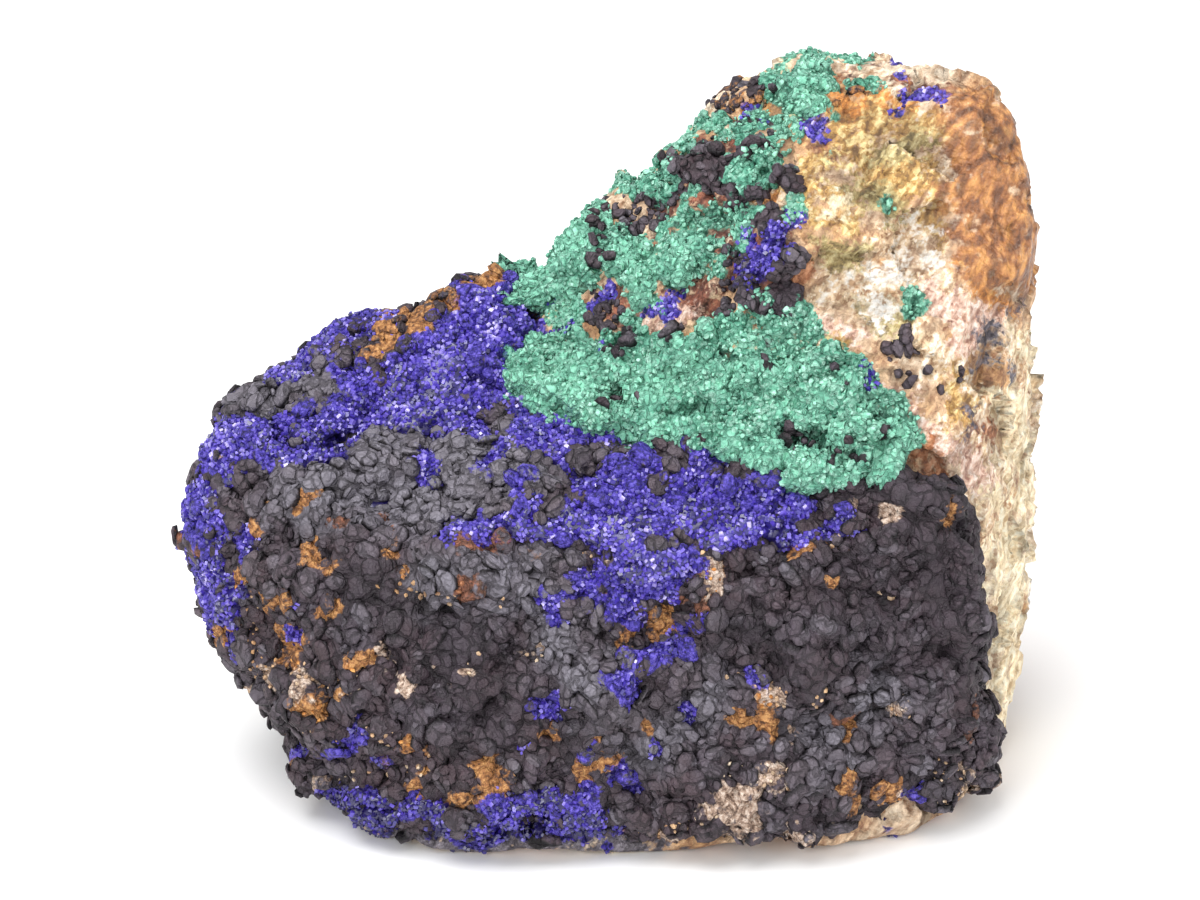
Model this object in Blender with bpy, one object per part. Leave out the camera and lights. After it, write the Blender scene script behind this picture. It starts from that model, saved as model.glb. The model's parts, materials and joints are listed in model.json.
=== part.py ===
"""A palm-sized azurite and malachite specimen, built in Blender.

A blocky host rock carries a lumpy black goethite crust over its front and left slope.
Azurite and malachite crusts have grown on both. The host rock is one solid, and every
crust is a solid of its own that sits a hair's breadth off what carries it.
Lengths are in millimetres, and MM turns them into Blender's metres. The finished model's
origin is at the bottom centre of its box, +Z is up, and the display side faces -Y.
"""

import math

import bmesh
import bpy
import numpy as np
from mathutils import Vector, noise
from mathutils.bvhtree import BVHTree

MM = 0.001

# The host rock: two overlapping blocks, given by the corners of their fracture faces.
FACET_SIZE = 3.2  # the small facets that the joined blocks are broken into
UNEVEN = (2.4, 0.95)  # how the facets are made uneven: spacing and shift
BASE_DEPTH = 2.0  # how far the blocks reach below the flat face, before it is levelled
BODY_CORNERS = {
    "base, front": [(-21.5, -18, 0), (-14, -20.4, 0), (20, -19.8, 0), (24.5, -18, 0)],
    "base, right": [(29, -13, 0), (33.5, -6, 0), (33, 8, 0), (28, 16, 0)],
    "base, back": [(6, 19, 0), (-13, 16, 0), (-23, 7, 0), (-25.5, -8, 0)],
    "left end": [(-36.4, 0, 20), (-35.4, 1, 24.5), (-33.2, -5, 18), (-29.6, -4, 12), (-31.5, 8, 22)],
    "right side": [(37.6, 5, 8), (38, 6, 16), (38.2, 8, 29), (35, 18, 24)],
    "back": [(10, 24, 16), (-10, 22, 18), (-24, 16, 24), (24, 22, 30)],
    "shoulder": [(-28.5, -9, 23), (-14.5, -12.8, 26), (2, -14, 24), (20, -14, 27), (29.5, -11, 31)],
    "crest": [(-33.4, 3, 30), (-30, 6, 33.9), (-27, 8, 35.6), (-19, 10, 38), (-8, 13, 40.6)],
}
PEAK_CORNERS = {
    "foot": [(0, -8, 18), (20, -13.5, 22), (35, 8, 12), (10, 20, 12)],
    "left edge": [(-5, 13.5, 42.3), (0.5, 15, 48.4), (8.5, 17, 55.6), (15, 18, 59.6)],
    "crown": [(20, 17, 60.8), (26, 15.5, 61.4), (34, 9, 61.2), (35.6, 5, 60.4), (17.5, 7, 58.8)],
    "front ridge": [(15, 0, 54.5), (13.5, -4, 46), (20, -8.5, 40.5), (24.2, -11, 35.5), (29.5, -11.5, 31)],
    "right side": [(36.8, 3, 54), (38.2, 4, 49), (37, 6, 41.5), (38.4, 8, 29)],
    "shelf": [(-3, -3, 34.5), (7.4, -5.5, 36)],
    "back": [(8, 23, 40), (28, 20, 46), (34, 16, 34)],
}
# Hollows under the front edge of the base: (middle x, half width, height).
BASE_HOLLOWS = [(-6, 5.5, 1.0), (13.5, 6.5, 2.0)]
HOLLOW_REACH = 5.0  # how far back a hollow runs

NOISE_SEED = 5

# Relief of the host rock, as (size of a dent or ridge, depth).
FRACTURE = (11.0, 1.3)
GRIT = (4.2, 0.45)
# Hollows where flakes have broken off: the middle, radius and depth.
SCARS = [((34.5, 2, 52), 8.0, 1.8), ((27, -2, 51), 6.0, 0.9), ((-34, 14, 14), 8.0, 1.4), ((12, 24, 34), 12.0, 1.6)]

# Every crust keeps this gap to what carries it, and is this thick at its rim.
GAP = 0.35
LEAST_GAP = 0.25  # nowhere does its underside come closer than this
LIFTS = 12  # times that an underside is lifted to keep that gap
REACH = 1.5  # an underside is never buried deeper than this
HIGHEST = 2.4  # a crust ends where its underside would have to be further off than this
RAY_STEP = 1e-4
BRIDGINGS = 2  # smoothings that take the upper crusts across crevices
RIM = 0.8
CLEAR_OF_FLOOR = 1.3  # no crust starts lower than this

# Outlines are drawn as the eye sees them from the display side: u to the right and v up,
# on the plane through TARGET that faces the eye.
TARGET = Vector((-1.2, 0.0, 29.8))
EYE_DISTANCE = 420.0
EYE_ELEVATION = math.radians(25)
RAGGED = (3.0, 1.3)  # size and depth of the bays and tongues of every outline
GRAZING = -0.25  # an outline also takes faces that are turned away by this little
RIM_PASSES = 2

GOETHITE_OUTLINE = [
    (-38.5, -9), (-39, 0), (-36, 6), (-31, 10), (-26, 12.5), (-19.3, 14),
    (-19.5, 9.5), (-16.5, 8), (-12, 10), (-10.5, 14.8),
    (-7, 18), (-4, 19), (-5.5, 13), (-6, 8), (-4, 4.5), (2, 3), (9, 1.5), (16, -0.5),
    (22, -1.5), (26.5, 0), (29, -2.5), (33.5, -4.5), (33.8, -10), (34.5, -14),
    (33.8, -19), (33.8, -25), (33.8, -36), (-30, -36), (-27.5, -26), (-34, -17),
]
# Behind the crest the goethite ends along the line y = first + second * x, and at this x.
GOETHITE_BACK_LINE = (19.0, 0.36)
GOETHITE_BACK_END = -3.0
GOETHITE_LUMPS = (8.0, 2.8)  # size and height
THINS_BELOW = 9.0  # it thins out below this height, and is all rim on the floor
# Steps that cross the front face: where they start and end in x, their height and depth.
LEDGES = [(2, 36, 20.5, 1.6), (8, 36, 14.5, 1.4), (-24, 4, 9.5, 1.2)]
LEDGE_WIDTH = 5.0
# Smooth hollows between the lumps: middle (u, v), radius and depth.
HOLLOWS = [(-14.5, -13.2, 4.5, 1.3), (-10, -23.2, 4.5, 1.3), (26, -11, 5.5, 1.0), (-24, -9, 4, 0.9)]

# The crusts on top, as seen from the display side, and then as seen from behind.
GOETHITE_ON_PEAK = {
    "goethite_peak": [
        (2.5, 21.6), (4.5, 25.5), (9, 27), (15, 27), (17.5, 23), (18.5, 19), (18.5, 15), (17, 11),
        (13, 11.5), (12, 14.5), (13.4, 18), (12.6, 21), (8, 21.6), (5.5, 20.2),
    ],
}
AZURITE = {
    "azurite_left": [
        (-37, 1.5), (-34, 3.4), (-28, 2.8), (-22.5, 3), (-22, 0), (-25, -2.2), (-29, -2.4),
        (-30, -6), (-29.5, -10), (-30.5, -15), (-34, -17), (-37, -12), (-39, -5), (-38, -1),
    ],
    "azurite_slope": [
        (-33, 6), (-31.5, 11), (-26, 14), (-20, 15.5), (-18.5, 11), (-16, 8.6), (-12, 8.4), (-10.5, 12),
        (-9, 15.5), (-7, 15), (-7, 9), (-8.2, 5.5), (-9, 2), (-11, -1.5), (-15, -1), (-20, 2),
        (-21, 6.5), (-25, 5), (-29, 4.4),
    ],
    "azurite_centre": [
        (-15, -7.5), (-10, -5), (-6, -3.5), (-7.5, 1), (-7.5, 4.4), (-2.5, 3.4), (2, 1.2), (8, -0.2),
        (15, -1.4), (21, -3.8), (24.5, -6.5), (21.5, -9.5), (14, -9), (10, -11), (7, -15),
        (1, -15.5), (-5, -14), (-6, -10.5), (-10, -9.5),
    ],
    "azurite_foot": [
        (-24.5, -30), (-21.5, -29.2), (-15, -30), (-8, -28.6), (-3, -29), (2.6, -31), (2, -36),
        (-8, -36), (-15, -36), (-21, -36),
    ],
}
MALACHITE = {
    "malachite_ledge": [
        (-7.5, 7), (-5.5, 10), (-1, 9.6), (4, 9.8), (8, 11.4), (11, 13), (13.5, 10.8), (16.5, 12.2),
        (20.5, 10), (23, 6), (26.5, 5.4), (28, 1), (25, -2), (20.5, -4), (17.5, -3.8), (12, -1.6),
        (8, 0), (4, -0.4), (0.5, 1.2), (-4, 3), (-7, 4),
    ],
    "malachite_slope": [
        (-8, 14), (-6.5, 18.5), (-3, 23), (1, 27), (5.4, 26), (3.5, 22.5), (1.8, 20.5), (2.4, 18.6),
        (5, 19.6), (8, 21.4), (12.4, 22), (13.5, 19), (10.5, 14.5), (6.5, 12.4), (2, 12.2), (-1.5, 10.6),
        (-4.5, 9.6), (-7.5, 11),
    ],
    "malachite_peak": [
        (6, 26.5), (7, 29.6), (10, 31.6), (14, 32.6), (18, 33.4), (21, 32), (20.6, 28.5), (17.5, 26.4),
        (12, 25.4), (9, 25),
    ],
}
AZURITE_BEHIND = {
    "azurite_back": [
        (10, 10), (15, 13), (20, 13), (26, 10.5), (31, 6), (33, 0), (29, -3), (25, 2), (20, 3), (15, 1),
    ],
}
MALACHITE_BEHIND = {
    "malachite_back": [
        (2, 7), (6, 13), (5, 19), (-1, 23), (-8, 22), (-9, 17), (-5, 13), (-8, 8), (-6, 3), (-1, 2),
    ],
}
PEAK_LUMPS = (3.6, 1.3)
AZURITE_LUMPS = (3.2, 0.7)
MALACHITE_LUMPS = (3.8, 1.5)

COLOURS = {
    "host_rock": ((0.50, 0.31, 0.16), 0.85),
    "goethite": ((0.075, 0.068, 0.078), 0.6),
    "azurite": ((0.085, 0.05, 0.42), 0.35),
    "malachite": ((0.10, 0.42, 0.29), 0.75),
}


def remove_everything():
    for obj in list(bpy.data.objects):
        bpy.data.objects.remove(obj)


def material(name):
    colour, roughness = COLOURS[name]
    made = bpy.data.materials.new(name)
    made.use_nodes = True
    shader = made.node_tree.nodes["Principled BSDF"]
    shader.inputs["Base Color"].default_value = (*colour, 1)
    shader.inputs["Roughness"].default_value = roughness
    shader.inputs["Metallic"].default_value = 0
    return made


def solid(name, points, triangles, mineral):
    """One node, from points in millimetres."""
    mesh = bpy.data.meshes.new(name)
    mesh.from_pydata((np.asarray(points) * MM).tolist(), [], np.asarray(triangles).tolist())
    mesh.materials.append(mineral)
    obj = bpy.data.objects.new(name, mesh)
    bpy.context.scene.collection.objects.link(obj)
    return obj


def block(name, corners):
    """The convex block that has these corners."""
    shape = bmesh.new()
    for group in corners.values():
        for x, y, z in group:
            shape.verts.new(Vector((x, y, z if z > 0 else -BASE_DEPTH)) * MM)
    bmesh.ops.convex_hull(shape, input=shape.verts)
    loose = [v for v in shape.verts if not v.link_faces]
    bmesh.ops.delete(shape, geom=loose, context="VERTS")
    mesh = bpy.data.meshes.new(name)
    shape.to_mesh(mesh)
    shape.free()
    obj = bpy.data.objects.new(name, mesh)
    bpy.context.scene.collection.objects.link(obj)
    return obj


def joined_blocks():
    """Both blocks as one surface of even facets, in a bmesh in millimetres."""
    body, peak = block("body", BODY_CORNERS), block("peak", PEAK_CORNERS)
    join = body.modifiers.new("join", "BOOLEAN")
    join.operation = "UNION"
    join.object = peak
    facets = body.modifiers.new("facets", "REMESH")
    facets.mode = "VOXEL"
    facets.voxel_size = FACET_SIZE * MM
    surface = bmesh.new()
    surface.from_object(body, bpy.context.evaluated_depsgraph_get())
    bmesh.ops.triangulate(surface, faces=surface.faces, quad_method="SHORT_EDGE")
    bmesh.ops.scale(surface, vec=(1 / MM,) * 3, verts=surface.verts)
    for helper in (body, peak):
        bpy.data.objects.remove(helper)
    return surface


def floor_height(point):
    """Where the underside is at a point: 0 on the flat face, more in a hollow of its front edge."""
    height = 0.0
    for middle, half_width, rise in BASE_HOLLOWS:
        across = max(0.0, 1 - ((point.x - middle) / half_width) ** 2)
        along = max(0.0, 1 - (point.y + 19) / HOLLOW_REACH)
        height = max(height, rise * across * min(1.0, along))
    return height


def weathered(surface):
    """Dents and grit along the normals, uneven facets, then the underside made level."""
    surface.normal_update()
    moves = []
    for vert in surface.verts:
        size, depth = FRACTURE
        along = depth * noise.fractal(vert.co / size, 1.0, 2.0, 2)
        size, depth = GRIT
        along += depth * noise.noise(vert.co / size)
        for middle, radius, depth in SCARS:
            along -= depth * max(0.0, 1 - (vert.co - Vector(middle)).length / radius)
        spacing, shift = UNEVEN
        aside = shift * noise.noise_vector(vert.co / spacing)
        aside -= vert.normal * vert.normal.dot(aside)
        moves.append(vert.normal * along + aside)
    for vert, move in zip(surface.verts, moves):
        vert.co += move
        vert.co.z = max(vert.co.z, floor_height(vert.co))


def domes(point, size):
    """Rounded lumps of about this size: 1 at the middle of a lump, 0 between lumps."""
    distance = noise.voronoi(point / size)[0][0]
    return max(0.0, 1 - 1.8 * distance**2)


def as_seen(point, from_behind=False):
    """(u, v) of a point on the outlines' plane, and the direction towards the eye."""
    side = -1 if from_behind else 1
    forward = Vector((0, side * math.cos(EYE_ELEVATION), -math.sin(EYE_ELEVATION)))
    up = Vector((0, side * math.sin(EYE_ELEVATION), math.cos(EYE_ELEVATION)))
    eye = TARGET - forward * EYE_DISTANCE
    ray = point - eye
    scale = EYE_DISTANCE / ray.dot(forward)
    return side * ray.x * scale, ray.dot(up) * scale, (-ray).normalized()


def within(u, v, outline):
    """True inside a closed outline, by the even-odd rule."""
    found = False
    for (u1, v1), (u2, v2) in zip(outline, outline[1:] + outline[:1]):
        if (v1 > v) != (v2 > v) and u < u1 + (v - v1) / (v2 - v1) * (u2 - u1):
            found = not found
    return found


def strayed(point):
    """The point moved about a little, so that a straight outline comes out ragged."""
    size, depth = RAGGED
    return point + depth * noise.noise_vector(point / size)


def clear_of_floor(face):
    return min(v.co.z for v in face.verts) > CLEAR_OF_FLOOR


def in_outline(face, outline, from_behind):
    u, v, to_eye = as_seen(strayed(face.calc_center_median()), from_behind)
    return clear_of_floor(face) and face.normal.dot(to_eye) > GRAZING and within(u, v, outline)


def in_goethite(face):
    if in_outline(face, GOETHITE_OUTLINE, False):
        return True
    centre = strayed(face.calc_center_median())
    if face.normal.dot(as_seen(centre)[2]) > GRAZING or not clear_of_floor(face):
        return False
    start, slant = GOETHITE_BACK_LINE
    return centre.x < GOETHITE_BACK_END and centre.y < start + slant * centre.x


def goethite_relief(point):
    """How far the goethite rises above its rim: lumps, ledges and smooth hollows."""
    size, height = GOETHITE_LUMPS
    rise = height * domes(strayed(point), size)
    for start, end, level, depth in LEDGES:
        below = level + RAGGED[1] * noise.noise(point / size) - point.z
        if start < point.x < end and 0 < below < LEDGE_WIDTH and point.y < 0:
            rise -= depth * (1 - below / LEDGE_WIDTH)
    u, v, _ = as_seen(point)
    for middle_u, middle_v, radius, depth in HOLLOWS:
        if point.y < 5:
            rise -= depth * max(0.0, 1 - math.hypot(u - middle_u, v - middle_v) / radius)
    return max(0.0, rise) * min(1.0, point.z / THINS_BELOW)


def peak_relief(point):
    size, height = PEAK_LUMPS
    return height * domes(point, size)


def azurite_relief(point):
    size, height = AZURITE_LUMPS
    return height * domes(point, size)


def malachite_relief(point):
    size, height = MALACHITE_LUMPS
    return height * domes(point, size)


def in_order(faces):
    return sorted(faces, key=lambda f: f.index)


def largest_patch(faces):
    """The largest group of faces joined by edges."""
    left, best = set(faces), []
    for start in faces:
        if start not in left:
            continue
        left.remove(start)
        patch, to_visit = [], [start]
        while to_visit:
            face = to_visit.pop()
            patch.append(face)
            for neighbour in {f for e in face.edges for f in e.link_faces} & left:
                left.remove(neighbour)
                to_visit.append(neighbour)
        best = max(best, patch, key=len)
    return best


def rim_edges(vert, faces):
    return [e for e in vert.link_edges if sum(f in faces for f in e.link_faces) == 1]


def whole_patch(faces):
    """Faces whose outline never touches itself at a corner, so that they make one solid."""
    faces = set(largest_patch(faces))
    while True:
        pinched = {v for f in faces for v in f.verts if len(rim_edges(v, faces)) > 2}
        if not pinched:
            return faces
        torn = {f for v in pinched for f in v.link_faces}
        faces = set(largest_patch(in_order(faces - torn)))


def smooth_rim(faces):
    """Straightens the zigzag of a patch's outline."""
    for _ in range(RIM_PASSES):
        moved = {}
        for vert in {v for f in faces for v in f.verts}:
            rim = rim_edges(vert, faces)
            if rim:
                ends = [e.other_vert(vert).co for e in rim]
                moved[vert] = vert.co.lerp((ends[0] + ends[1]) / 2, 0.5)
        for vert, place in moved.items():
            vert.co = place


def buried(point, outwards, carrier):
    """True inside a closed carrier: a ray out of it crosses its surface an odd number of times."""
    crossings = 0
    spot = carrier.ray_cast(point, outwards)[0]
    while spot:
        crossings += 1
        spot = carrier.ray_cast(spot + outwards * RAY_STEP, outwards)[0]
    return crossings % 2 == 1


def lifted(faces, carriers):
    """For each point of these faces, how far an underside there is from it, along its normal.

    The underside starts GAP off, and is moved out until it clears everything that carries it."""
    middles = [(0.5, 0.5, 0), (0, 0.5, 0.5), (0.5, 0, 0.5), (1 / 3, 1 / 3, 1 / 3)]
    probes = [(1, 0, 0), (0, 1, 0), (0, 0, 1)] + middles
    heights = {v: GAP for f in faces for v in f.verts}
    for _ in range(LIFTS):
        lifts = dict.fromkeys(heights, 0.0)
        for face in faces:
            corners = [v.co + v.normal * heights[v] for v in face.verts]
            for shares in probes:
                probe = sum((c * share for c, share in zip(corners, shares)), Vector())
                for carrier in carriers:
                    gap = carrier.find_nearest(probe)[3]
                    if gap < REACH and buried(probe, face.normal, carrier):
                        gap = -gap
                    for vert in face.verts:
                        lifts[vert] = max(lifts[vert], LEAST_GAP - gap)
        if not any(lifts.values()):
            break
        for vert, lift in lifts.items():
            heights[vert] += lift
    return heights


def settled(faces, carriers):
    """The faces on which a crust can lie low, and the heights of its underside there."""
    while True:
        heights = lifted(faces, carriers)
        high = {v for v, height in heights.items() if height > HIGHEST}
        if not high:
            return faces, heights
        faces = whole_patch(in_order(f for f in faces if not high.intersection(f.verts)))


def crust(name, faces, relief, mineral, carriers):
    """A solid that covers these faces, GAP off them, and RIM thick or more by its relief.

    It returns the points of its outer face, and the solid as something to rest on."""
    faces, heights = settled(faces, carriers)
    verts = sorted(heights, key=lambda v: v.index)
    place = {v: i for i, v in enumerate(verts)}
    underside = [[place[v] for v in f.verts] for f in in_order(faces)]
    lower, upper = [], []
    for vert in verts:
        rise = 0 if rim_edges(vert, faces) else relief(vert.co)
        lower.append(vert.co + vert.normal * heights[vert])
        upper.append(vert.co + vert.normal * (heights[vert] + RIM + rise))
    count = len(verts)
    triangles = []
    for a, b, c in underside:
        triangles += [(count + a, count + b, count + c), (c, b, a)]
    for face in in_order(faces):
        for loop in face.loops:
            if sum(f in faces for f in loop.edge.link_faces) == 1:
                start, end = place[loop.vert], place[loop.link_loop_next.vert]
                triangles += [(start, end, count + end), (start, count + end, count + start)]
    solid(name, lower + upper, triangles, mineral)
    return dict(zip(verts, upper)), BVHTree.FromPolygons(lower + upper, triangles)


def refreshed(surface):
    surface.normal_update()
    for part in (surface.verts, surface.faces):
        part.index_update()
        part.ensure_lookup_table()


def patch(surface, outline, from_behind, taken):
    """The faces within an outline. Two patches never come close enough to touch."""
    free = [f for f in surface.faces if not any(v in taken for v in f.verts)]
    faces = whole_patch([f for f in free if in_outline(f, outline, from_behind)])
    taken.update(v for f in faces for corner in f.verts for e in corner.link_edges for v in e.verts)
    smooth_rim(faces)
    surface.normal_update()
    return faces


def centred():
    """Moves every solid alike, so that the origin is at the bottom centre of their box."""
    meshes = [obj.data for obj in bpy.context.scene.objects]
    corners = [v.co for mesh in meshes for v in mesh.vertices]
    lowest = [min(c[axis] for c in corners) for axis in range(3)]
    highest = [max(c[axis] for c in corners) for axis in range(3)]
    bottom_centre = Vector(((lowest[0] + highest[0]) / 2, (lowest[1] + highest[1]) / 2, lowest[2]))
    for mesh in meshes:
        for vert in mesh.vertices:
            vert.co -= bottom_centre


def build():
    remove_everything()
    noise.seed_set(NOISE_SEED)
    minerals = {name: material(name) for name in COLOURS}

    surface = joined_blocks()
    weathered(surface)
    refreshed(surface)
    goethite = whole_patch([f for f in surface.faces if in_goethite(f)])
    smooth_rim(goethite)
    refreshed(surface)
    points = [v.co.copy() for v in surface.verts]
    triangles = [[v.index for v in f.verts] for f in surface.faces]
    solid("host_rock", points, triangles, minerals["host_rock"])
    carriers = [BVHTree.FromPolygons(points, triangles)]

    top, crusted = crust("goethite_crust", goethite, goethite_relief, minerals["goethite"], carriers)
    carriers.append(crusted)
    for vert, raised in top.items():
        vert.co = raised
    bmesh.ops.subdivide_edges(surface, edges=surface.edges, cuts=1, use_grid_fill=True)
    for _ in range(BRIDGINGS):
        bmesh.ops.smooth_vert(
            surface, verts=surface.verts, factor=0.5, use_axis_x=True, use_axis_y=True, use_axis_z=True
        )
    refreshed(surface)

    taken = set()
    for outlines, from_behind, relief, mineral in (
        (GOETHITE_ON_PEAK, False, peak_relief, "goethite"),
        (MALACHITE, False, malachite_relief, "malachite"),
        (MALACHITE_BEHIND, True, malachite_relief, "malachite"),
        (AZURITE, False, azurite_relief, "azurite"),
        (AZURITE_BEHIND, True, azurite_relief, "azurite"),
    ):
        for name, outline in outlines.items():
            faces = patch(surface, outline, from_behind, taken)
            crust(name, faces, relief, minerals[mineral], carriers)
    surface.free()
    centred()


build()
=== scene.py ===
import json
import math

import bmesh
import bpy
import numpy as np
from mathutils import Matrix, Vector, noise
from mathutils.bvhtree import BVHTree
from mathutils.kdtree import KDTree

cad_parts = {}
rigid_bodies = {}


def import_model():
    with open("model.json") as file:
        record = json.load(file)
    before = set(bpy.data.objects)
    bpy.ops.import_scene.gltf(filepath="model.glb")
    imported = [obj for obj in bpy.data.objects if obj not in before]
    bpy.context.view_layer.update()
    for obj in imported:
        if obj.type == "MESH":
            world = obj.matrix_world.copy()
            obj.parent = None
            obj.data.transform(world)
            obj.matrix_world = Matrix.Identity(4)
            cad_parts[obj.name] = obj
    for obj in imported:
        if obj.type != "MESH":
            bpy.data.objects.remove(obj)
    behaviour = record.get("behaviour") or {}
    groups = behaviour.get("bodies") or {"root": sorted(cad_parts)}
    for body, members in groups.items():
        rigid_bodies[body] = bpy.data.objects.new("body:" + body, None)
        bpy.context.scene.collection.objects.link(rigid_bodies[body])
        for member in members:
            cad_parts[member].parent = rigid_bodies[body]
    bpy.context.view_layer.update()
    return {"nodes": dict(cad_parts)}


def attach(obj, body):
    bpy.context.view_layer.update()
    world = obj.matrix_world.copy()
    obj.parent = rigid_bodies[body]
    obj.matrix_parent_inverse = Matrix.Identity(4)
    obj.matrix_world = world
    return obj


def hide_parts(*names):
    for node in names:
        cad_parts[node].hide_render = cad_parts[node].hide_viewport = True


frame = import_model()

mm = 0.001
coarser = 1.0

# The sight plane: u to the right and v up, in mm, facing the camera through this target.
sight = {"target": (-0.4, -0.15, 29.8), "distance": 420.0, "elevation": 25.0, "width": 104.9}


def hexColour(code):
    # sRGB hex to the linear colour that a shader takes
    channels = [int(code[i:i + 2], 16) / 255 for i in (1, 3, 5)]
    return tuple(c / 12.92 if c <= 0.04045 else ((c + 0.055) / 1.055) ** 2.4 for c in channels) + (1.0,)


def addNode(tree, kind, inputs={}, **settings):
    # one node: settings are its own properties, inputs are plain values, sums or other nodes' outputs
    node = tree.nodes.new(kind)
    for name, value in settings.items():
        setattr(node, name, value)
    for name, value in inputs.items():
        value = value.socket if isinstance(value, Value) else value
        if isinstance(value, bpy.types.NodeSocket):
            tree.links.new(value, node.inputs[name])
        else:
            node.inputs[name].default_value = value
    return node


class Value:
    # a number in a node tree, so that sums on it are written as usual
    def __init__(self, tree, socket):
        self.tree, self.socket = tree, socket

    def worked(self, operation, other):
        result = addNode(self.tree, "ShaderNodeMath", {0: self, 1: other}, operation=operation)
        return Value(self.tree, result.outputs[0])

    def __add__(self, other):
        return self.worked("ADD", other)

    def __sub__(self, other):
        return self.worked("SUBTRACT", other)

    def __mul__(self, other):
        return self.worked("MULTIPLY", other)

    def __pow__(self, other):
        return self.worked("POWER", other)


def coordinates(mesh, name="co", source="vertices"):
    values = np.empty(len(getattr(mesh, source)) * 3, np.float32)
    getattr(mesh, source).foreach_get(name, values)
    return values.reshape(-1, 3).astype(float)


def setCoordinates(mesh, points):
    mesh.vertices.foreach_set("co", np.asarray(points, np.float32).ravel())
    mesh.update()


def setAttribute(mesh, name, values):
    layer = mesh.attributes.get(name) or mesh.attributes.new(name, "FLOAT", "POINT")
    layer.data.foreach_set("value", np.asarray(values, np.float32))


def smoothStep(low, high, values):
    share = np.clip((values - low) / (high - low), 0, 1)
    return share * share * (3 - 2 * share)


def seen(points):
    # u, v in mm of points in metres, and the direction from each to the camera
    tilt = math.radians(sight["elevation"])
    forward = np.array([0, math.cos(tilt), -math.sin(tilt)])
    up = np.array([0, math.sin(tilt), math.cos(tilt)])
    ray = points / mm - (np.array(sight["target"]) - forward * sight["distance"])
    depth = ray @ forward
    scale = sight["distance"] / depth
    return ray[:, 0] * scale, (ray @ up) * scale, -ray / np.linalg.norm(ray, axis=1)[:, None]


# The outline on the sight plane, left foot to crest to right foot, with the ground side left open.
sightOutline = [
    (-20, -50), (-23.5, -34), (-26.7, -30.2), (-28.2, -23.7), (-30.7, -19.4), (-34.3, -16.4),
    (-35.9, -11.6), (-35.3, -9.4), (-37.9, -8.1), (-37.3, -6.3), (-37.2, -3.6), (-35.8, -0.6), (-34.9, 1.7),
    (-33.6, 4.6), (-31, 6.8), (-29.3, 8), (-26.7, 9.9), (-22.9, 11.4), (-19, 13.2), (-14.7, 13.8),
    (-8.8, 15.5), (-4.3, 18.4), (-2.3, 21.5), (1.3, 24.1), (3.8, 25.3), (6.2, 26.2), (8, 28), (10.8, 31.7),
    (12.9, 32.7), (15, 33.9), (18.1, 35.5), (23.3, 35), (25.6, 34), (31, 33.1), (35, 31.8), (37, 30),
    (37.2, 25.3), (38.2, 24), (39.4, 19.9), (38.2, 13.3), (39, 8.9), (38.3, 4.4), (39.2, 2.8), (39, -1.4),
    (37.8, -6), (37.7, -10.6), (36.6, -13.2), (37.4, -18.4), (35.8, -23.9), (35.9, -28.8), (32.5, -31.2),
    (30.9, -32.9), (28.5, -33.6), (26, -50),
]


fitting = {
    # how far inside the outline the stone ends, and how far from it the fit fades out, in mm
    "inset": -0.2, "soft": 1.6,
    # what the crest's crusts lose where they sink in, between which depths, and where the crest is
    "crestLift": 2.3, "liftFrom": (-9, -2),
    "crestLeft": (-21, -16), "crestRight": (20, 23.5), "crestFoot": (0, 6),
}


def trimmed(points):
    # fits what stands near or outside the outline to it, on the sight plane, and leaves the rest alone
    u, v, _ = seen(points)
    corners = np.array(sightOutline)
    nearest, towards = np.full(len(points), 1e3), np.zeros((len(points), 2))
    inside = np.zeros(len(points), bool)
    for (u1, v1), (u2, v2) in zip(corners, np.roll(corners, -1, 0)):
        du, dv = u2 - u1, v2 - v1
        along = np.clip(((u - u1) * du + (v - v1) * dv) / (du * du + dv * dv), 0, 1)
        gap = np.stack([u - u1 - along * du, v - v1 - along * dv], 1)
        length = np.hypot(*gap.T)
        closer = length < nearest
        nearest[closer], towards[closer] = length[closer], gap[closer]
        if v1 != v2:
            inside ^= ((v1 > v) != (v2 > v)) & (u < u1 + (v - v1) * du / dv)
    side = np.where(inside, -1.0, 1.0)
    outwards = towards / np.maximum(nearest, 1e-9)[:, None] * side[:, None]
    depth = side * nearest
    crest = smoothStep(*fitting["crestLeft"], u) * (1 - smoothStep(*fitting["crestRight"], u))
    crest = crest * smoothStep(*fitting["crestFoot"], v)
    lifted = depth + fitting["crestLift"] * crest * smoothStep(*fitting["liftFrom"], depth)
    soft = fitting["soft"]
    room = soft - fitting["inset"]
    wanted = np.where(lifted > -soft, -soft + room * (1 - np.exp(-(lifted + soft) / room)), lifted)
    tilt = math.radians(sight["elevation"])
    up = np.array([0, math.sin(tilt), math.cos(tilt)])
    step = outwards * (wanted - depth)[:, None] * mm
    return points + step[:, :1] * np.array([1.0, 0, 0]) + step[:, 1:] * up


def wander(points, size, shift=0.0):
    # even noise from -1 to 1 with features of this size in mm
    at = Vector((shift, 2 * shift, -shift))
    return np.array([noise.noise(Vector(p) + at) for p in points / (size * mm)]) * 1.6


def painted(points, normals, strokes, soft=0.5, ragged=0.9):
    # 1 inside strokes (u1, v1, u2, v2, radius) on what faces the camera, 0 outside
    u, v, toCamera = seen(points)
    nearest = np.full(len(points), 1e3)
    for u1, v1, u2, v2, radius in strokes:
        du, dv = u2 - u1, v2 - v1
        along = np.clip(((u - u1) * du + (v - v1) * dv) / max(du * du + dv * dv, 1e-9), 0, 1)
        nearest = np.minimum(nearest, np.hypot(u - u1 - along * du, v - v1 - along * dv) - radius)
    nearest += ragged * (wander(points, 2.2, 3.1) + 0.5 * wander(points, 0.9, 7.7))
    facing = smoothStep(-0.35, -0.05, (normals * toCamera).sum(1))
    return (1 - smoothStep(-soft, soft, nearest)) * facing


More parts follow.
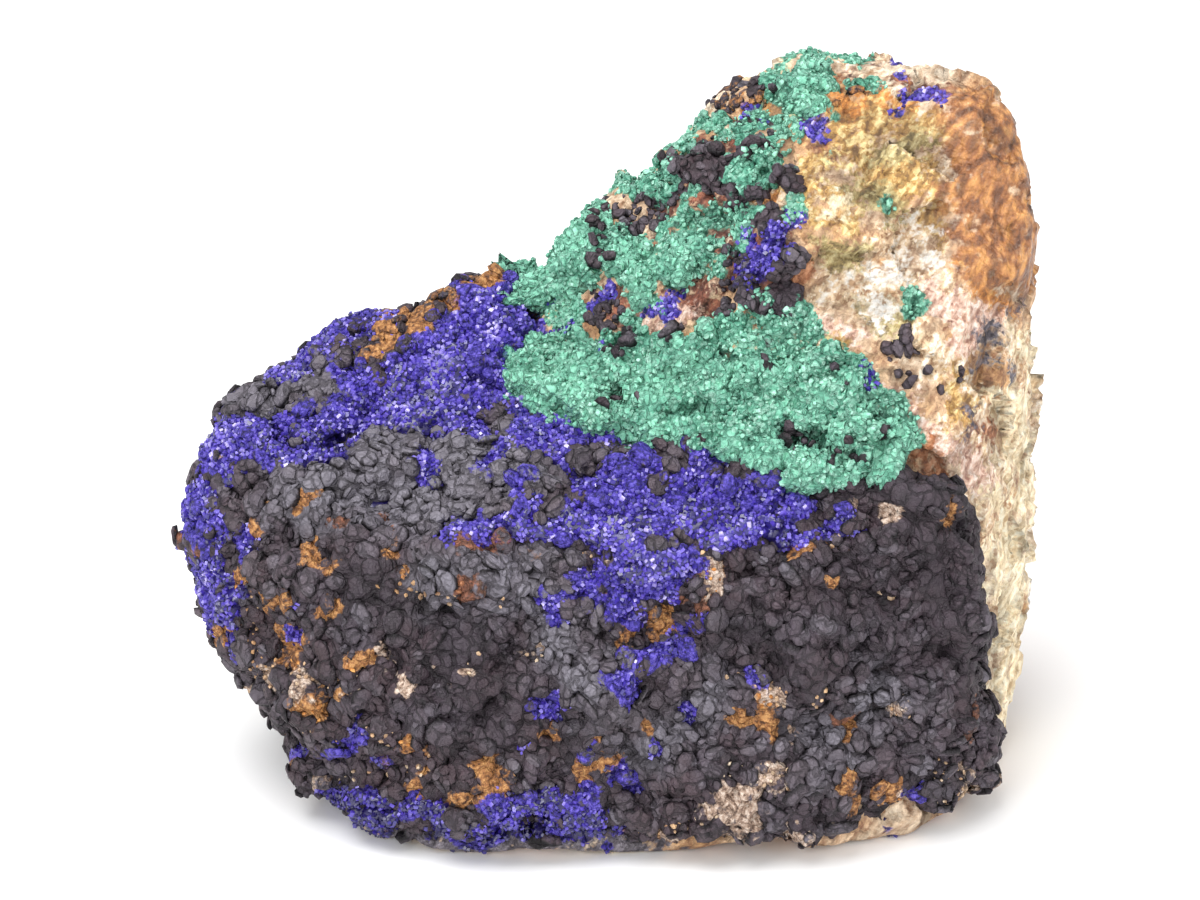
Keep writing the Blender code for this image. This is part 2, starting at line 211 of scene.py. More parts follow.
def newObject(name, mesh):
    obj = bpy.data.objects.new(name, mesh)
    bpy.context.scene.collection.objects.link(obj)
    return obj


def plainMesh(obj):
    # what the object's modifiers make of it, as its own mesh
    evaluated = obj.evaluated_get(bpy.context.evaluated_depsgraph_get())
    made = bpy.data.meshes.new_from_object(evaluated)
    obj.modifiers.clear()
    obj.data = made


def welded(node):
    # a copy of a CAD node's loose triangles, joined up and fitted to the outline
    shape = bmesh.new()
    shape.from_mesh(frame["nodes"][node].data)
    bmesh.ops.remove_doubles(shape, verts=shape.verts, dist=1e-6)
    mesh = bpy.data.meshes.new(node)
    shape.to_mesh(mesh)
    shape.free()
    mesh.materials.clear()
    points = coordinates(mesh)
    offGround = smoothStep(0.3 * mm, 3.0 * mm, points[:, 2])[:, None]
    setCoordinates(mesh, points + (trimmed(points) - points) * offGround)
    return mesh


def treeOf(mesh):
    return BVHTree.FromPolygons(
        [v.co[:] for v in mesh.vertices], [tuple(p.vertices) for p in mesh.polygons], all_triangles=False
    )


def fineBase(name, node, faceSize, rounding=2):
    # the node's own shape with its facets rounded off, in even faces of this size in mm
    obj = newObject(name, welded(node))
    rounded = obj.modifiers.new("rounding", "SUBSURF")
    rounded.levels = rounded.render_levels = rounding
    even = obj.modifiers.new("even faces", "REMESH")
    even.mode = "VOXEL"
    even.voxel_size = faceSize * coarser * mm
    even.use_smooth_shade = True
    plainMesh(obj)
    return obj


class Carrier:
    # what a crust sits on, with smooth normals
    def __init__(self, *objs):
        self.trees = [treeOf(o.data) for o in objs]
        self.normals = []
        for o in objs:
            normals = coordinates(o.data, "normal")
            corners = [p.vertices[0] for p in o.data.polygons]
            self.normals.append(normals[corners])

    def upwards(self, points):
        # the way up at each point, from the nearest spot on the carriers
        nearest, ups = np.full(len(points), 1e3), np.zeros((len(points), 3))
        for tree, normals in zip(self.trees, self.normals):
            found = [tree.find_nearest(Vector(p)) for p in points]
            distance = np.array([f[3] for f in found])
            closer = distance < nearest
            nearest[closer] = distance[closer]
            ups[closer] = normals[[f[2] for f in found]][closer]
        return ups


def rimDistance(node, carrier, points):
    # how far each point is from the top edge of the node's side wall, in mm
    mesh = welded(node)
    centres, normals = coordinates(mesh, "center", "polygons"), coordinates(mesh, "normal", "polygons")
    lean = (normals * carrier.upwards(centres)).sum(1)
    outer = {p.index for p in mesh.polygons if lean[p.index] > 0.3}
    beside = {}
    for polygon in mesh.polygons:
        for key in polygon.edge_keys:
            beside.setdefault(key, []).append(polygon.index)
    rim = []
    for (start, end), faces in beside.items():
        if sum(f in outer for f in faces) == 1:
            a, b = mesh.vertices[start].co, mesh.vertices[end].co
            rim += [a.lerp(b, share) for share in (0, 0.25, 0.5, 0.75)]
    places = KDTree(len(rim))
    for i, spot in enumerate(rim):
        places.insert(spot, i)
    places.balance()
    bpy.data.meshes.remove(mesh)
    return np.array([places.find(Vector(p))[2] for p in points]) / mm


def newTree(name, sockets):
    # a geometry tree with named inputs, and its group input's and output's sockets
    tree = bpy.data.node_groups.new(name, "GeometryNodeTree")
    tree.interface.new_socket("Geometry", in_out="INPUT", socket_type="NodeSocketGeometry")
    tree.interface.new_socket("Geometry", in_out="OUTPUT", socket_type="NodeSocketGeometry")
    for label, kind in sockets.items():
        tree.interface.new_socket(label, in_out="INPUT", socket_type="NodeSocket" + kind)
    return tree, addNode(tree, "NodeGroupInput").outputs, addNode(tree, "NodeGroupOutput").inputs


def grown(obj, tree, values):
    # runs a tree on an object, and keeps the result as a plain mesh
    modifier = obj.modifiers.new(tree.name, "NODES")
    modifier.node_group = tree
    for socket in tree.interface.items_tree:
        if socket.in_out == "INPUT" and socket.name in values:
            modifier[socket.identifier] = values[socket.name]
    plainMesh(obj)


def domeLayer(tree, place, size):
    # rounded lumps: 1 at the middle of a lump, 0 in the creases between lumps
    fullness = 1.25
    scale = addNode(tree, "ShaderNodeMath", {0: 1.0, 1: size}, operation="DIVIDE").outputs[0]
    cells = addNode(tree, "ShaderNodeTexVoronoi", {"Vector": place, "Scale": scale})
    distance = Value(tree, cells.outputs["Distance"])
    return ((distance * fullness) ** 2.0 * -1.0 + 1.0).worked("MAXIMUM", 0.0) ** 0.5


def lifted(tree, geometry, height, rise):
    # moves a surface along its normals, scaled by its own "bold" attribute, and notes its rise
    bold = addNode(tree, "GeometryNodeInputNamedAttribute", {"Name": "bold"}).outputs[0]
    normal = addNode(tree, "GeometryNodeInputNormal").outputs[0]
    offset = addNode(tree, "ShaderNodeVectorMath", {
        0: normal, "Scale": height * bold,
    }, operation="SCALE").outputs[0]
    moved = addNode(tree, "GeometryNodeSetPosition", {"Geometry": geometry, "Offset": offset})
    return addNode(tree, "GeometryNodeStoreNamedAttribute", {
        "Geometry": moved.outputs[0], "Name": "rise", "Value": rise,
    }, data_type="FLOAT", domain="POINT").outputs[0]


def closeTree(tree, given, result, geometry):
    # the last two nodes of every tree
    plain = addNode(tree, "GeometryNodeRealizeInstances", {"Geometry": geometry})
    coated = addNode(tree, "GeometryNodeSetMaterial", {
        "Geometry": plain.outputs[0], "Material": given["Material"],
    })
    tree.links.new(coated.outputs[0], result["Geometry"])
    return tree


def lumpyTree():
    # rounded lumps of three sizes, on clusters that drift a little
    tree, given, result = newTree("lumps", {
        "Warp": "Float", "Cluster size": "Float", "Cluster height": "Float", "Lump size": "Float",
        "Lump height": "Float", "Pimple size": "Float", "Pimple height": "Float", "Material": "Material",
    })
    position = addNode(tree, "GeometryNodeInputPosition").outputs[0]
    drift = addNode(tree, "ShaderNodeTexNoise", {"Vector": position, "Scale": 420.0, "Detail": 2.0})
    centred = addNode(tree, "ShaderNodeVectorMath", {
        0: drift.outputs["Color"], 1: (0.5,) * 3,
    }, operation="SUBTRACT")
    shift = addNode(tree, "ShaderNodeVectorMath", {
        0: centred.outputs[0], "Scale": given["Warp"],
    }, operation="SCALE")
    place = addNode(tree, "ShaderNodeVectorMath", {
        0: position, 1: shift.outputs[0],
    }, operation="ADD").outputs[0]
    total, rise = 0.0, 0.0
    for label, share in (("Cluster", 0.25), ("Lump", 0.5), ("Pimple", 0.25)):
        layer = domeLayer(tree, place, given[label + " size"])
        total = (layer - 0.55) * given[label + " height"] + total
        rise = layer * share + rise
    return closeTree(tree, given, result, lifted(tree, given["Geometry"], total, rise))


def brokenTree():
    # tilted flat chips of two sizes, as broken stone has, with fine grit
    tree, given, result = newTree("broken", {
        "Chip size": "Float", "Chip tilt": "Float", "Flake size": "Float", "Flake tilt": "Float",
        "Grit size": "Float", "Grit height": "Float", "Material": "Material",
    })
    position = addNode(tree, "GeometryNodeInputPosition").outputs[0]
    total = 0.0
    for label in ("Chip", "Flake"):
        scale = addNode(tree, "ShaderNodeMath", {
            0: 1.0, 1: given[label + " size"],
        }, operation="DIVIDE").outputs[0]
        cells = addNode(tree, "ShaderNodeTexVoronoi", {"Vector": position, "Scale": scale})
        away = addNode(tree, "ShaderNodeVectorMath", {
            0: position, 1: cells.outputs["Position"],
        }, operation="SUBTRACT")
        lean = addNode(tree, "ShaderNodeVectorMath", {
            0: cells.outputs["Color"], 1: (0.5,) * 3,
        }, operation="SUBTRACT")
        slope = addNode(tree, "ShaderNodeVectorMath", {
            0: away.outputs[0], 1: lean.outputs[0],
        }, operation="DOT_PRODUCT")
        total = Value(tree, slope.outputs["Value"]) * given[label + " tilt"] + total
    scale = addNode(tree, "ShaderNodeMath", {0: 1.0, 1: given["Grit size"]}, operation="DIVIDE").outputs[0]
    grit = addNode(tree, "ShaderNodeTexNoise", {
        "Vector": position, "Scale": scale, "Detail": 3.0, "Roughness": 0.6,
    })
    total = total + (Value(tree, grit.outputs["Fac"]) - 0.5) * given["Grit height"] * 2.0
    return closeTree(tree, given, result, lifted(tree, given["Geometry"], total, total * 900.0 + 0.5))


def druseTree():
    # shapes all over a surface where its "bare" attribute lets them grow, each turned its own way
    tree, given, result = newTree("druse", {
        "Shape": "Object", "Spacing": "Float", "Smallest": "Float", "Largest": "Float", "Lean": "Float",
        "Stretch": "Float", "Uneven": "Float", "Seed": "Int", "Keep base": "Bool", "Material": "Material",
    })
    room = addNode(tree, "GeometryNodeInputNamedAttribute", {"Name": "bare"}).outputs[0]
    spacing, stretching = Value(tree, given["Spacing"]), Value(tree, given["Stretch"])
    scatter = addNode(tree, "GeometryNodeDistributePointsOnFaces", {
        "Mesh": given["Geometry"], "Distance Min": spacing, "Density Max": spacing ** -2.0 * 2.5,
        "Density Factor": room, "Seed": given["Seed"],
    }, distribute_method="POISSON")
    back = Value(tree, given["Lean"]) * -1.0
    least = addNode(tree, "ShaderNodeCombineXYZ", {0: back, 1: back, 2: 0.0}).outputs[0]
    most = addNode(tree, "ShaderNodeCombineXYZ", {0: given["Lean"], 1: given["Lean"], 2: 6.28}).outputs[0]
    lean = addNode(tree, "FunctionNodeRandomValue", {
        0: least, 1: most, "Seed": given["Seed"],
    }, data_type="FLOAT_VECTOR")
    turned = addNode(tree, "FunctionNodeRotateRotation", {
        "Rotation": scatter.outputs["Rotation"], "Rotate By": lean.outputs[0],
    }, rotation_space="LOCAL")
    size = addNode(tree, "FunctionNodeRandomValue", {
        2: given["Smallest"], 3: given["Largest"], "Seed": 5,
    }, data_type="FLOAT")
    stretch = addNode(tree, "FunctionNodeRandomValue", {
        0: stretching * -1.0 + 1.0, 1: stretching + 1.0, "Seed": 7,
    }, data_type="FLOAT_VECTOR")
    scale = addNode(tree, "ShaderNodeVectorMath", {
        0: stretch.outputs[0], "Scale": size.outputs[1],
    }, operation="SCALE")
    shape = addNode(tree, "GeometryNodeObjectInfo", {"Object": given["Shape"]})
    planted = addNode(tree, "GeometryNodeInstanceOnPoints", {
        "Points": scatter.outputs["Points"], "Instance": shape.outputs["Geometry"],
        "Rotation": turned.outputs[0], "Scale": scale.outputs[0],
    })
    tint = addNode(tree, "FunctionNodeRandomValue", {2: 0.0, 3: 1.0, "Seed": 9}, data_type="FLOAT")
    noted = addNode(tree, "GeometryNodeStoreNamedAttribute", {
        "Geometry": planted.outputs[0], "Name": "tint", "Value": tint.outputs[1],
    }, data_type="FLOAT", domain="INSTANCE")
    plain = addNode(tree, "GeometryNodeRealizeInstances", {"Geometry": noted.outputs[0]})
    base = addNode(tree, "GeometryNodeSwitch", {
        "Switch": given["Keep base"], "True": given["Geometry"],
    }, input_type="GEOMETRY")
    joined = addNode(tree, "GeometryNodeJoinGeometry")
    tree.links.new(base.outputs[0], joined.inputs[0])
    tree.links.new(plain.outputs[0], joined.inputs[0])
    grain = addNode(tree, "ShaderNodeTexNoise", {"Scale": spacing ** -1.0 * 1.1, "Detail": 2.0})
    middle = addNode(tree, "ShaderNodeVectorMath", {
        0: grain.outputs["Color"], 1: (0.5,) * 3,
    }, operation="SUBTRACT")
    shift = addNode(tree, "ShaderNodeVectorMath", {
        0: middle.outputs[0], "Scale": given["Uneven"],
    }, operation="SCALE")
    uneven = addNode(tree, "GeometryNodeSetPosition", {
        "Geometry": joined.outputs[0], "Offset": shift.outputs[0],
    })
    return closeTree(tree, given, result, uneven.outputs[0])


def newMaterial(name, values, *attributes):
    # a material with its tree and shader, and the piece's own attributes that it reads
    made = bpy.data.materials.new(name)
    made.use_nodes = True
    tree = made.node_tree
    shader = tree.nodes["Principled BSDF"]
    for socket, value in values.items():
        shader.inputs[socket].default_value = value
    own = [addNode(tree, "ShaderNodeAttribute", attribute_name=a).outputs["Fac"] for a in attributes]
    return made, tree, shader, *(Value(tree, socket) for socket in own)


def closeMaterial(tree, shader, colour, relief, depth):
    # the last nodes of every material: its colour, and bumps of this depth in mm
    bump = addNode(tree, "ShaderNodeBump", {"Height": relief, "Distance": depth * mm})
    tree.links.new(bump.outputs[0], shader.inputs["Normal"])
    tree.links.new(colour, shader.inputs["Base Color"])


def speckle(tree, size, detail=2.0, contrast=3.0, place=None):
    # noise with grains of this size in mm, stretched to 0..1
    place = place or addNode(tree, "ShaderNodeTexCoord").outputs["Object"]
    grain = addNode(tree, "ShaderNodeTexNoise", {"Vector": place, "Scale": 1 / (size * mm), "Detail": detail})
    spread = (Value(tree, grain.outputs["Fac"]) - 0.5) * contrast + 0.5
    return Value(tree, addNode(tree, "ShaderNodeClamp", {"Value": spread}).outputs[0])


def cells(tree, size, drifting, shifting, detail, **settings):
    # Voronoi cells of about this size in mm, with warped borders
    place = addNode(tree, "ShaderNodeTexCoord").outputs["Object"]
    drift = addNode(tree, "ShaderNodeTexNoise", {
        "Vector": place, "Scale": drifting / (size * mm), "Detail": detail,
    })
    shift = addNode(tree, "ShaderNodeVectorMath", {
        0: drift.outputs["Color"], "Scale": shifting * size * mm,
    }, operation="SCALE")
    moved = addNode(tree, "ShaderNodeVectorMath", {0: place, 1: shift.outputs[0]}, operation="ADD").outputs[0]
    return addNode(tree, "ShaderNodeTexVoronoi", {
        "Vector": moved, "Scale": 1 / (size * mm),
    }, **settings).outputs


def grains(tree, size):
    # a random value for each crisp-edged grain of about this size in mm
    colour = cells(tree, size, 0.7, 1.6, 2.0)["Color"]
    return Value(tree, addNode(tree, "ShaderNodeSeparateColor", {"Color": colour}).outputs[0])


def creased(tree, size, width):
    # 0 in the thin creases between fused lumps of about this size in mm, 1 on the lumps
    edge = cells(tree, size, 0.9, 1.1, 3.0, feature="DISTANCE_TO_EDGE")["Distance"]
    return Value(tree, addNode(tree, "ShaderNodeMapRange", {
        "Value": edge, "From Min": 0.0, "From Max": width,
    }, interpolation_type="SMOOTHSTEP").outputs[0])


def mixture(tree, size, detail, contrast, grainSize, share, place=None):
    # soft speckle and crisp grains in one (Mix has its number sockets at 2, 3 and 0)
    return Value(tree, addNode(tree, "ShaderNodeMix", {
        0: share, 2: speckle(tree, size, detail, contrast, place), 3: grains(tree, grainSize),
    }, data_type="FLOAT").outputs[0])


def layered(tree, base, *layers):
    # lays colours, as hex or sockets, over a base, each by its share (Mix has colours at 6, 7 and 2)
    for share, colour in layers:
        colour = hexColour(colour) if isinstance(colour, str) else colour
        base = addNode(tree, "ShaderNodeMix", {0: share, 6: base, 7: colour}, data_type="RGBA").outputs[2]
    return base


def toned(tree, value, stops):
    # a colour ramp from (place, hex colour) stops
    ramp = addNode(tree, "ShaderNodeValToRGB", {"Fac": value})
    elements = ramp.color_ramp.elements
    first, *between, last = stops
    elements[0].position, elements[0].color = first[0], hexColour(first[1])
    elements[1].position, elements[1].color = last[0], hexColour(last[1])
    for place, colour in between:
        elements.new(place).color = hexColour(colour)
    return ramp.outputs[0]


def zoned(tree, base, zones, soft, ragged, place=None):
    # lays each zone's grain over the base where the zone's attribute is high, with frayed edges
    fray = addNode(tree, "ShaderNodeMix", {
        0: 0.45, 2: speckle(tree, 1.7, 5.0, 2.6), 3: speckle(tree, 0.45, 3.0, 2.6),
    }, data_type="FLOAT").outputs[0]
    fray = (Value(tree, fray) - 0.5) * ragged
    for name, (light, mid, dark, size) in zones.items():
        grain = mixture(tree, size, 6.0, 3.4, 0.4 * size, 0.4, place)
        tone = toned(tree, grain, [(0.12, dark), (0.5, mid), (0.88, light)])
        share = addNode(tree, "ShaderNodeAttribute", attribute_name=name).outputs["Fac"]
        mask = addNode(tree, "ShaderNodeClamp", {"Value": (fray + share - 0.5) * soft + 0.5}).outputs[0]
        near = addNode(tree, "ShaderNodeMapRange", {
            "Value": share, "From Min": 0.02, "From Max": 0.2,
        }).outputs[0]
        base = layered(tree, base, (Value(tree, mask) * near, tone))
    return base


def thinned(obj, hidden, kept=0.06):
    # takes out most of the faces that another piece covers, and leaves the rest alone
    group = obj.vertex_groups.new(name="hidden")
    group.add([int(i) for i in np.flatnonzero(hidden)], 1.0, "REPLACE")
    fewer = obj.modifiers.new("fewer faces", "DECIMATE")
    fewer.vertex_group = group.name
    fewer.ratio = 1 - (1 - kept) * float(np.mean(hidden))
    plainMesh(obj)
    obj.vertex_groups.clear()


def finished(obj, slot, *nodes):
    # nothing reaches below the ground
    points = coordinates(obj.data)
    points[:, 2] = np.maximum(points[:, 2], 0.0)
    setCoordinates(obj.data, points)
    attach(obj, "root")
    if nodes:
        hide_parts(*nodes)
    triangles = sum(len(p.vertices) - 2 for p in obj.data.polygons)
    print(f"{obj.name}: {triangles} triangles")


# Goethite as a botryoidal skin: nearly black with a dull metallic grey on the lumps and a painted
# grey sheen in places, browner where it rusts, and blackest in the creases, partly from its own colour
# and partly from painted shade.
goethiteLook = {
    # the crease colour is partly the skin's own and partly painted shade
    "creaseColourAndShade": "#1a151a", "dark": "#332b33", "mid": "#574d57", "light": "#807b85", "brown": "#49363a",
    # the silver grey is a painted sheen
    "paintedSheen": "#807d87", "roughness": 0.62, "ior": 1.6, "specular": 0.3,
    "paving": (1.5, 0.13), "pips": (0.6, 0.25),  # two kinds of fused lumps: size in mm, width of creases
    "bump": 0.34,  # mm
}
goethiteZones = {
    # light, middle and dark tone, and the size of the grain in mm
    "rusty": ("#94604a", "#66402f", "#38221c", 0.6),
    "limonite": ("#c4925c", "#946237", "#4b3020", 0.5),
    "pale": ("#dccabb", "#a98f7d", "#5f4a3e", 0.5),
    "azurite": ("#6a5cc4", "#3a2e92", "#191240", 0.5),
    "malachite": ("#93cdb6", "#559c82", "#2a5c4b", 0.6),
}


def goethiteMaterial():
    look = goethiteLook
    made, tree, shader, rise, tint, paintedSheen, smoothDark = newMaterial("goethite skin", {
        "Roughness": look["roughness"], "IOR": look["ior"], "Specular IOR Level": look["specular"],
    }, "rise", "tint", "paintedSheen", "smoothDark")
    # painted shade over the skin's own dark creases: darkest at low rise and between fused lumps
    tops = addNode(tree, "ShaderNodeMapRange", {"Value": rise, "From Min": 0.25, "From Max": 0.75}).outputs[0]
    paving, pips = creased(tree, *look["paving"]), creased(tree, *look["pips"])
    crest = Value(tree, tops) * (paving * 0.55 + 0.45) * (pips * 0.22 + 0.78)
    tone = layered(
        tree, hexColour(look["dark"]),
        (speckle(tree, 5.0, 5.0, 3.0), look["mid"]),
        (tint ** 3.0 * 0.7, look["light"]),
        (speckle(tree, 4.0, 4.0, 3.5) * 0.6, look["brown"]),
        (smoothDark * 0.55, look["dark"]),
        # painted grey sheen
        (paintedSheen * 0.75, look["paintedSheen"]),
    )
    body = zoned(tree, layered(tree, hexColour(look["creaseColourAndShade"]), (crest, tone)), goethiteZones, 3.0, 1.5)
    relief = speckle(tree, 0.4, 4.0, 1.6) * 0.25 + (pips * 0.2 + paving * 0.6)
    closeMaterial(tree, shader, body, relief, look["bump"])
    return made


# Azurite as a druse of tiny glassy crystals: deep blue, with faces that catch the light one by one,
# with painted glints in the palest tones and painted shade at the crystals' feet and near the ground.
azuriteLook = {
    # tones from painted shade at the foot of the crystals, through their own blues, to painted glints
    "tones": [
        (0.0, "#1a1150"), (0.25, "#2f2388"), (0.55, "#4f3db0"), (0.82, "#7263c6"), (0.97, "#a196d8"),
        (1.0, "#c2b8ee"),
    ],
    "roughness": 0.3, "ior": 1.73, "facets": 0.3, "bump": 0.12,  # the last two in mm
}


def azuriteMaterial():
    look = azuriteLook
    made, tree, shader, rise, tint = newMaterial("azurite crystals", {
        "Roughness": look["roughness"], "IOR": look["ior"],
    }, "rise", "tint")
    patchy = (speckle(tree, 3.0, 4.0, 3.0) - 0.5) * 0.45
    # painted shade, darker towards the ground
    place = addNode(tree, "ShaderNodeTexCoord").outputs["Object"]
    level = addNode(tree, "ShaderNodeSeparateXYZ", {0: place}).outputs["Z"]
    foot = addNode(tree, "ShaderNodeMapRange", {
        "Value": level, "From Min": 2 * mm, "From Max": 14 * mm, "To Min": -0.34, "To Max": 0.0,
    }).outputs[0]
    # low rise gives painted shade at the crystals' feet, and the top of the ramp is painted glints
    light = tint * 0.9 + (rise * 0.3 - 0.2 + patchy) + foot
    closeMaterial(tree, shader, toned(tree, light, look["tones"]), grains(tree, look["facets"]), look["bump"])
    return made


# Malachite as a velvety crust of tiny round tufts: soft green, with a painted highlight at the tips
# and painted shade in the creases, and no shine.
malachiteLook = {
    # painted shade low in the tufts and in the gaps between clumps, painted highlight on the tips
    "tones": [(0.2, "#2b6452"), (0.55, "#6bb195"), (0.95, "#b6e6d2")],
    "deep": "#579a84", "bright": "#98dfc2", "gap": "#2c6553", "roughness": 0.8, "ior": 1.66, "specular": 0.25,
    "clumps": (0.9, 0.22), "bump": 0.5,  # the size of the clumps in mm and their creases' width, and mm
}


def malachiteMaterial():
    look = malachiteLook
    made, tree, shader, rise, tint = newMaterial("malachite tufts", {
        "Roughness": look["roughness"], "IOR": look["ior"], "Specular IOR Level": look["specular"],
    }, "rise", "tint")
    # painted shade where the rise is low and painted highlight on the tips, with random grain and tint
    height = rise * 0.6 + (grains(tree, 0.4) * 0.3 + (tint * 0.35 + 0.05))
    clumps = creased(tree, *look["clumps"])
    body = layered(
        tree, toned(tree, height, look["tones"]),
        (speckle(tree, 2.2, 5.0, 4.0) * 0.55, look["deep"]),
        (speckle(tree, 4.0, 5.0, 4.5) * 0.6, look["bright"]),
        # painted shade in the creases between clumps
        (clumps * -0.35 + 0.35, look["gap"]),
    )
    relief = addNode(tree, "ShaderNodeMix", {
        0: 0.5, 2: mixture(tree, 0.4, 5.0, 1.6, 0.35, 0.5), 3: clumps,
    }, data_type="FLOAT").outputs[0]
    closeMaterial(tree, shader, body, relief, look["bump"])
    return made


# Host rock as iron-stained vein quartz and limonite, broken rough: cream to rust, dull where it is
# grainy and glassy where the quartz is clean.
hostLook = {
    "roughness": 0.62, "glassyRoughness": 0.28, "ior": 1.54, "bump": 0.7,  # the bump in mm
    "tan": ("#9c7550", "#ffefd6"), "rust": ("#714532", "#e0b07a"),
    "streaks": [(0.36, "#66412f"), (0.5, "#a96d3e"), (0.66, "#dda25e")],
}
hostZones = {
    "redBrown": ("#9a5f47", "#6d3c2d", "#3c2019", 0.9),
    "limonite": ("#eeb468", "#c27d3a", "#84542a", 1.0),
    "cream": ("#fffaf0", "#e6c8a2", "#96704f", 1.0),
    "pink": ("#fbe9dc", "#ddb7a2", "#966c5b", 0.9),
    "golden": ("#f4dc9e", "#bd9252", "#785733", 1.0),
    "olive": ("#dccd9a", "#ab9662", "#6d5c3a", 0.9),
    "glassy": ("#c48d56", "#96613a", "#5f3d2d", 1.6),
    "quartz": ("#fff6dc", "#eedab4", "#b89c76", 1.1),
    "white": ("#fffdf8", "#fbf2e6", "#dcc5aa", 0.6),
    "rusty": ("#cf9670", "#a56740", "#6b3e29", 1.0),
    "black": ("#8f8890", "#5f585f", "#37323a", 0.7),
    "azurite": ("#6a5cc4", "#3a2e92", "#191240", 0.5),
    "malachite": ("#93cdb6", "#559c82", "#2a5c4b", 0.6),
}


def hostMaterial():
    look = hostLook
    made, tree, shader, rise, glassy = newMaterial("iron-stained quartz", {
        "Roughness": look["roughness"], "IOR": look["ior"],
    }, "rise", "glassy")
    place = addNode(tree, "ShaderNodeTexCoord").outputs["Object"]
    leaning = addNode(tree, "ShaderNodeMapping", {
        "Vector": place, "Rotation": (0.1, 0.6, 0.0), "Scale": (0.6, 1.0, 2.4),
    }, vector_type="TEXTURE").outputs[0]
    fine = mixture(tree, 1.0, 6.0, 3.4, 0.4, 0.4, leaning)
    tan, rust = (
        layered(tree, hexColour(dark), (fine, light)) for dark, light in (look["tan"], look["rust"])
    )
    body = layered(tree, tan, (speckle(tree, 7.0, 6.0, 4.0), rust))
    body = zoned(tree, body, hostZones, 2.2, 1.6, leaning)
    # long streaks that lean with the quartz
    swept = addNode(tree, "ShaderNodeMapping", {
        "Vector": place, "Rotation": (0.1, 0.45, 0.0), "Scale": (1.0, 1.0, 6.0),
    }, vector_type="TEXTURE").outputs[0]
    lines = addNode(tree, "ShaderNodeTexNoise", {
        "Vector": swept, "Scale": 1100.0, "Detail": 5.0,
    }).outputs["Fac"]
    body = layered(tree, body, (glassy * 0.65, toned(tree, lines, look["streaks"])))
    # painted shade in the hollows and painted light on the rises of the broken surface
    hollowShadeAndLight = addNode(tree, "ShaderNodeMapRange", {
        "Value": rise, "From Min": 0.0, "From Max": 0.45, "To Min": 0.66, "To Max": 1.08,
    }).outputs[0]
    vein = addNode(tree, "ShaderNodeMapRange", {
        "Value": lines, "From Min": 0.38, "From Max": 0.62, "To Min": 0.78, "To Max": 1.14,
    }).outputs[0]
    # painted hollow shade and light, times the streaks' own darker and lighter veins
    veinsShadeAndLight = Value(tree, hollowShadeAndLight) * vein
    body = addNode(tree, "ShaderNodeVectorMath", {0: body, "Scale": veinsShadeAndLight}, operation="SCALE").outputs[0]
    gloss = addNode(tree, "ShaderNodeMix", {
        0: glassy, 2: look["roughness"], 3: look["glassyRoughness"],
    }, data_type="FLOAT").outputs[0]
    tree.links.new(gloss, shader.inputs["Roughness"])
    closeMaterial(tree, shader, body, mixture(tree, 0.7, 6.0, 1.8, 0.4, 0.4), look["bump"])
    return made


materials = {
    "host_rock": hostMaterial(), "goethite": goethiteMaterial(),
    "azurite": azuriteMaterial(), "malachite": malachiteMaterial(),
}
print("materials made")


# Where each mineral shows on the display side: strokes (u1, v1, u2, v2, radius) on the sight plane, in mm.

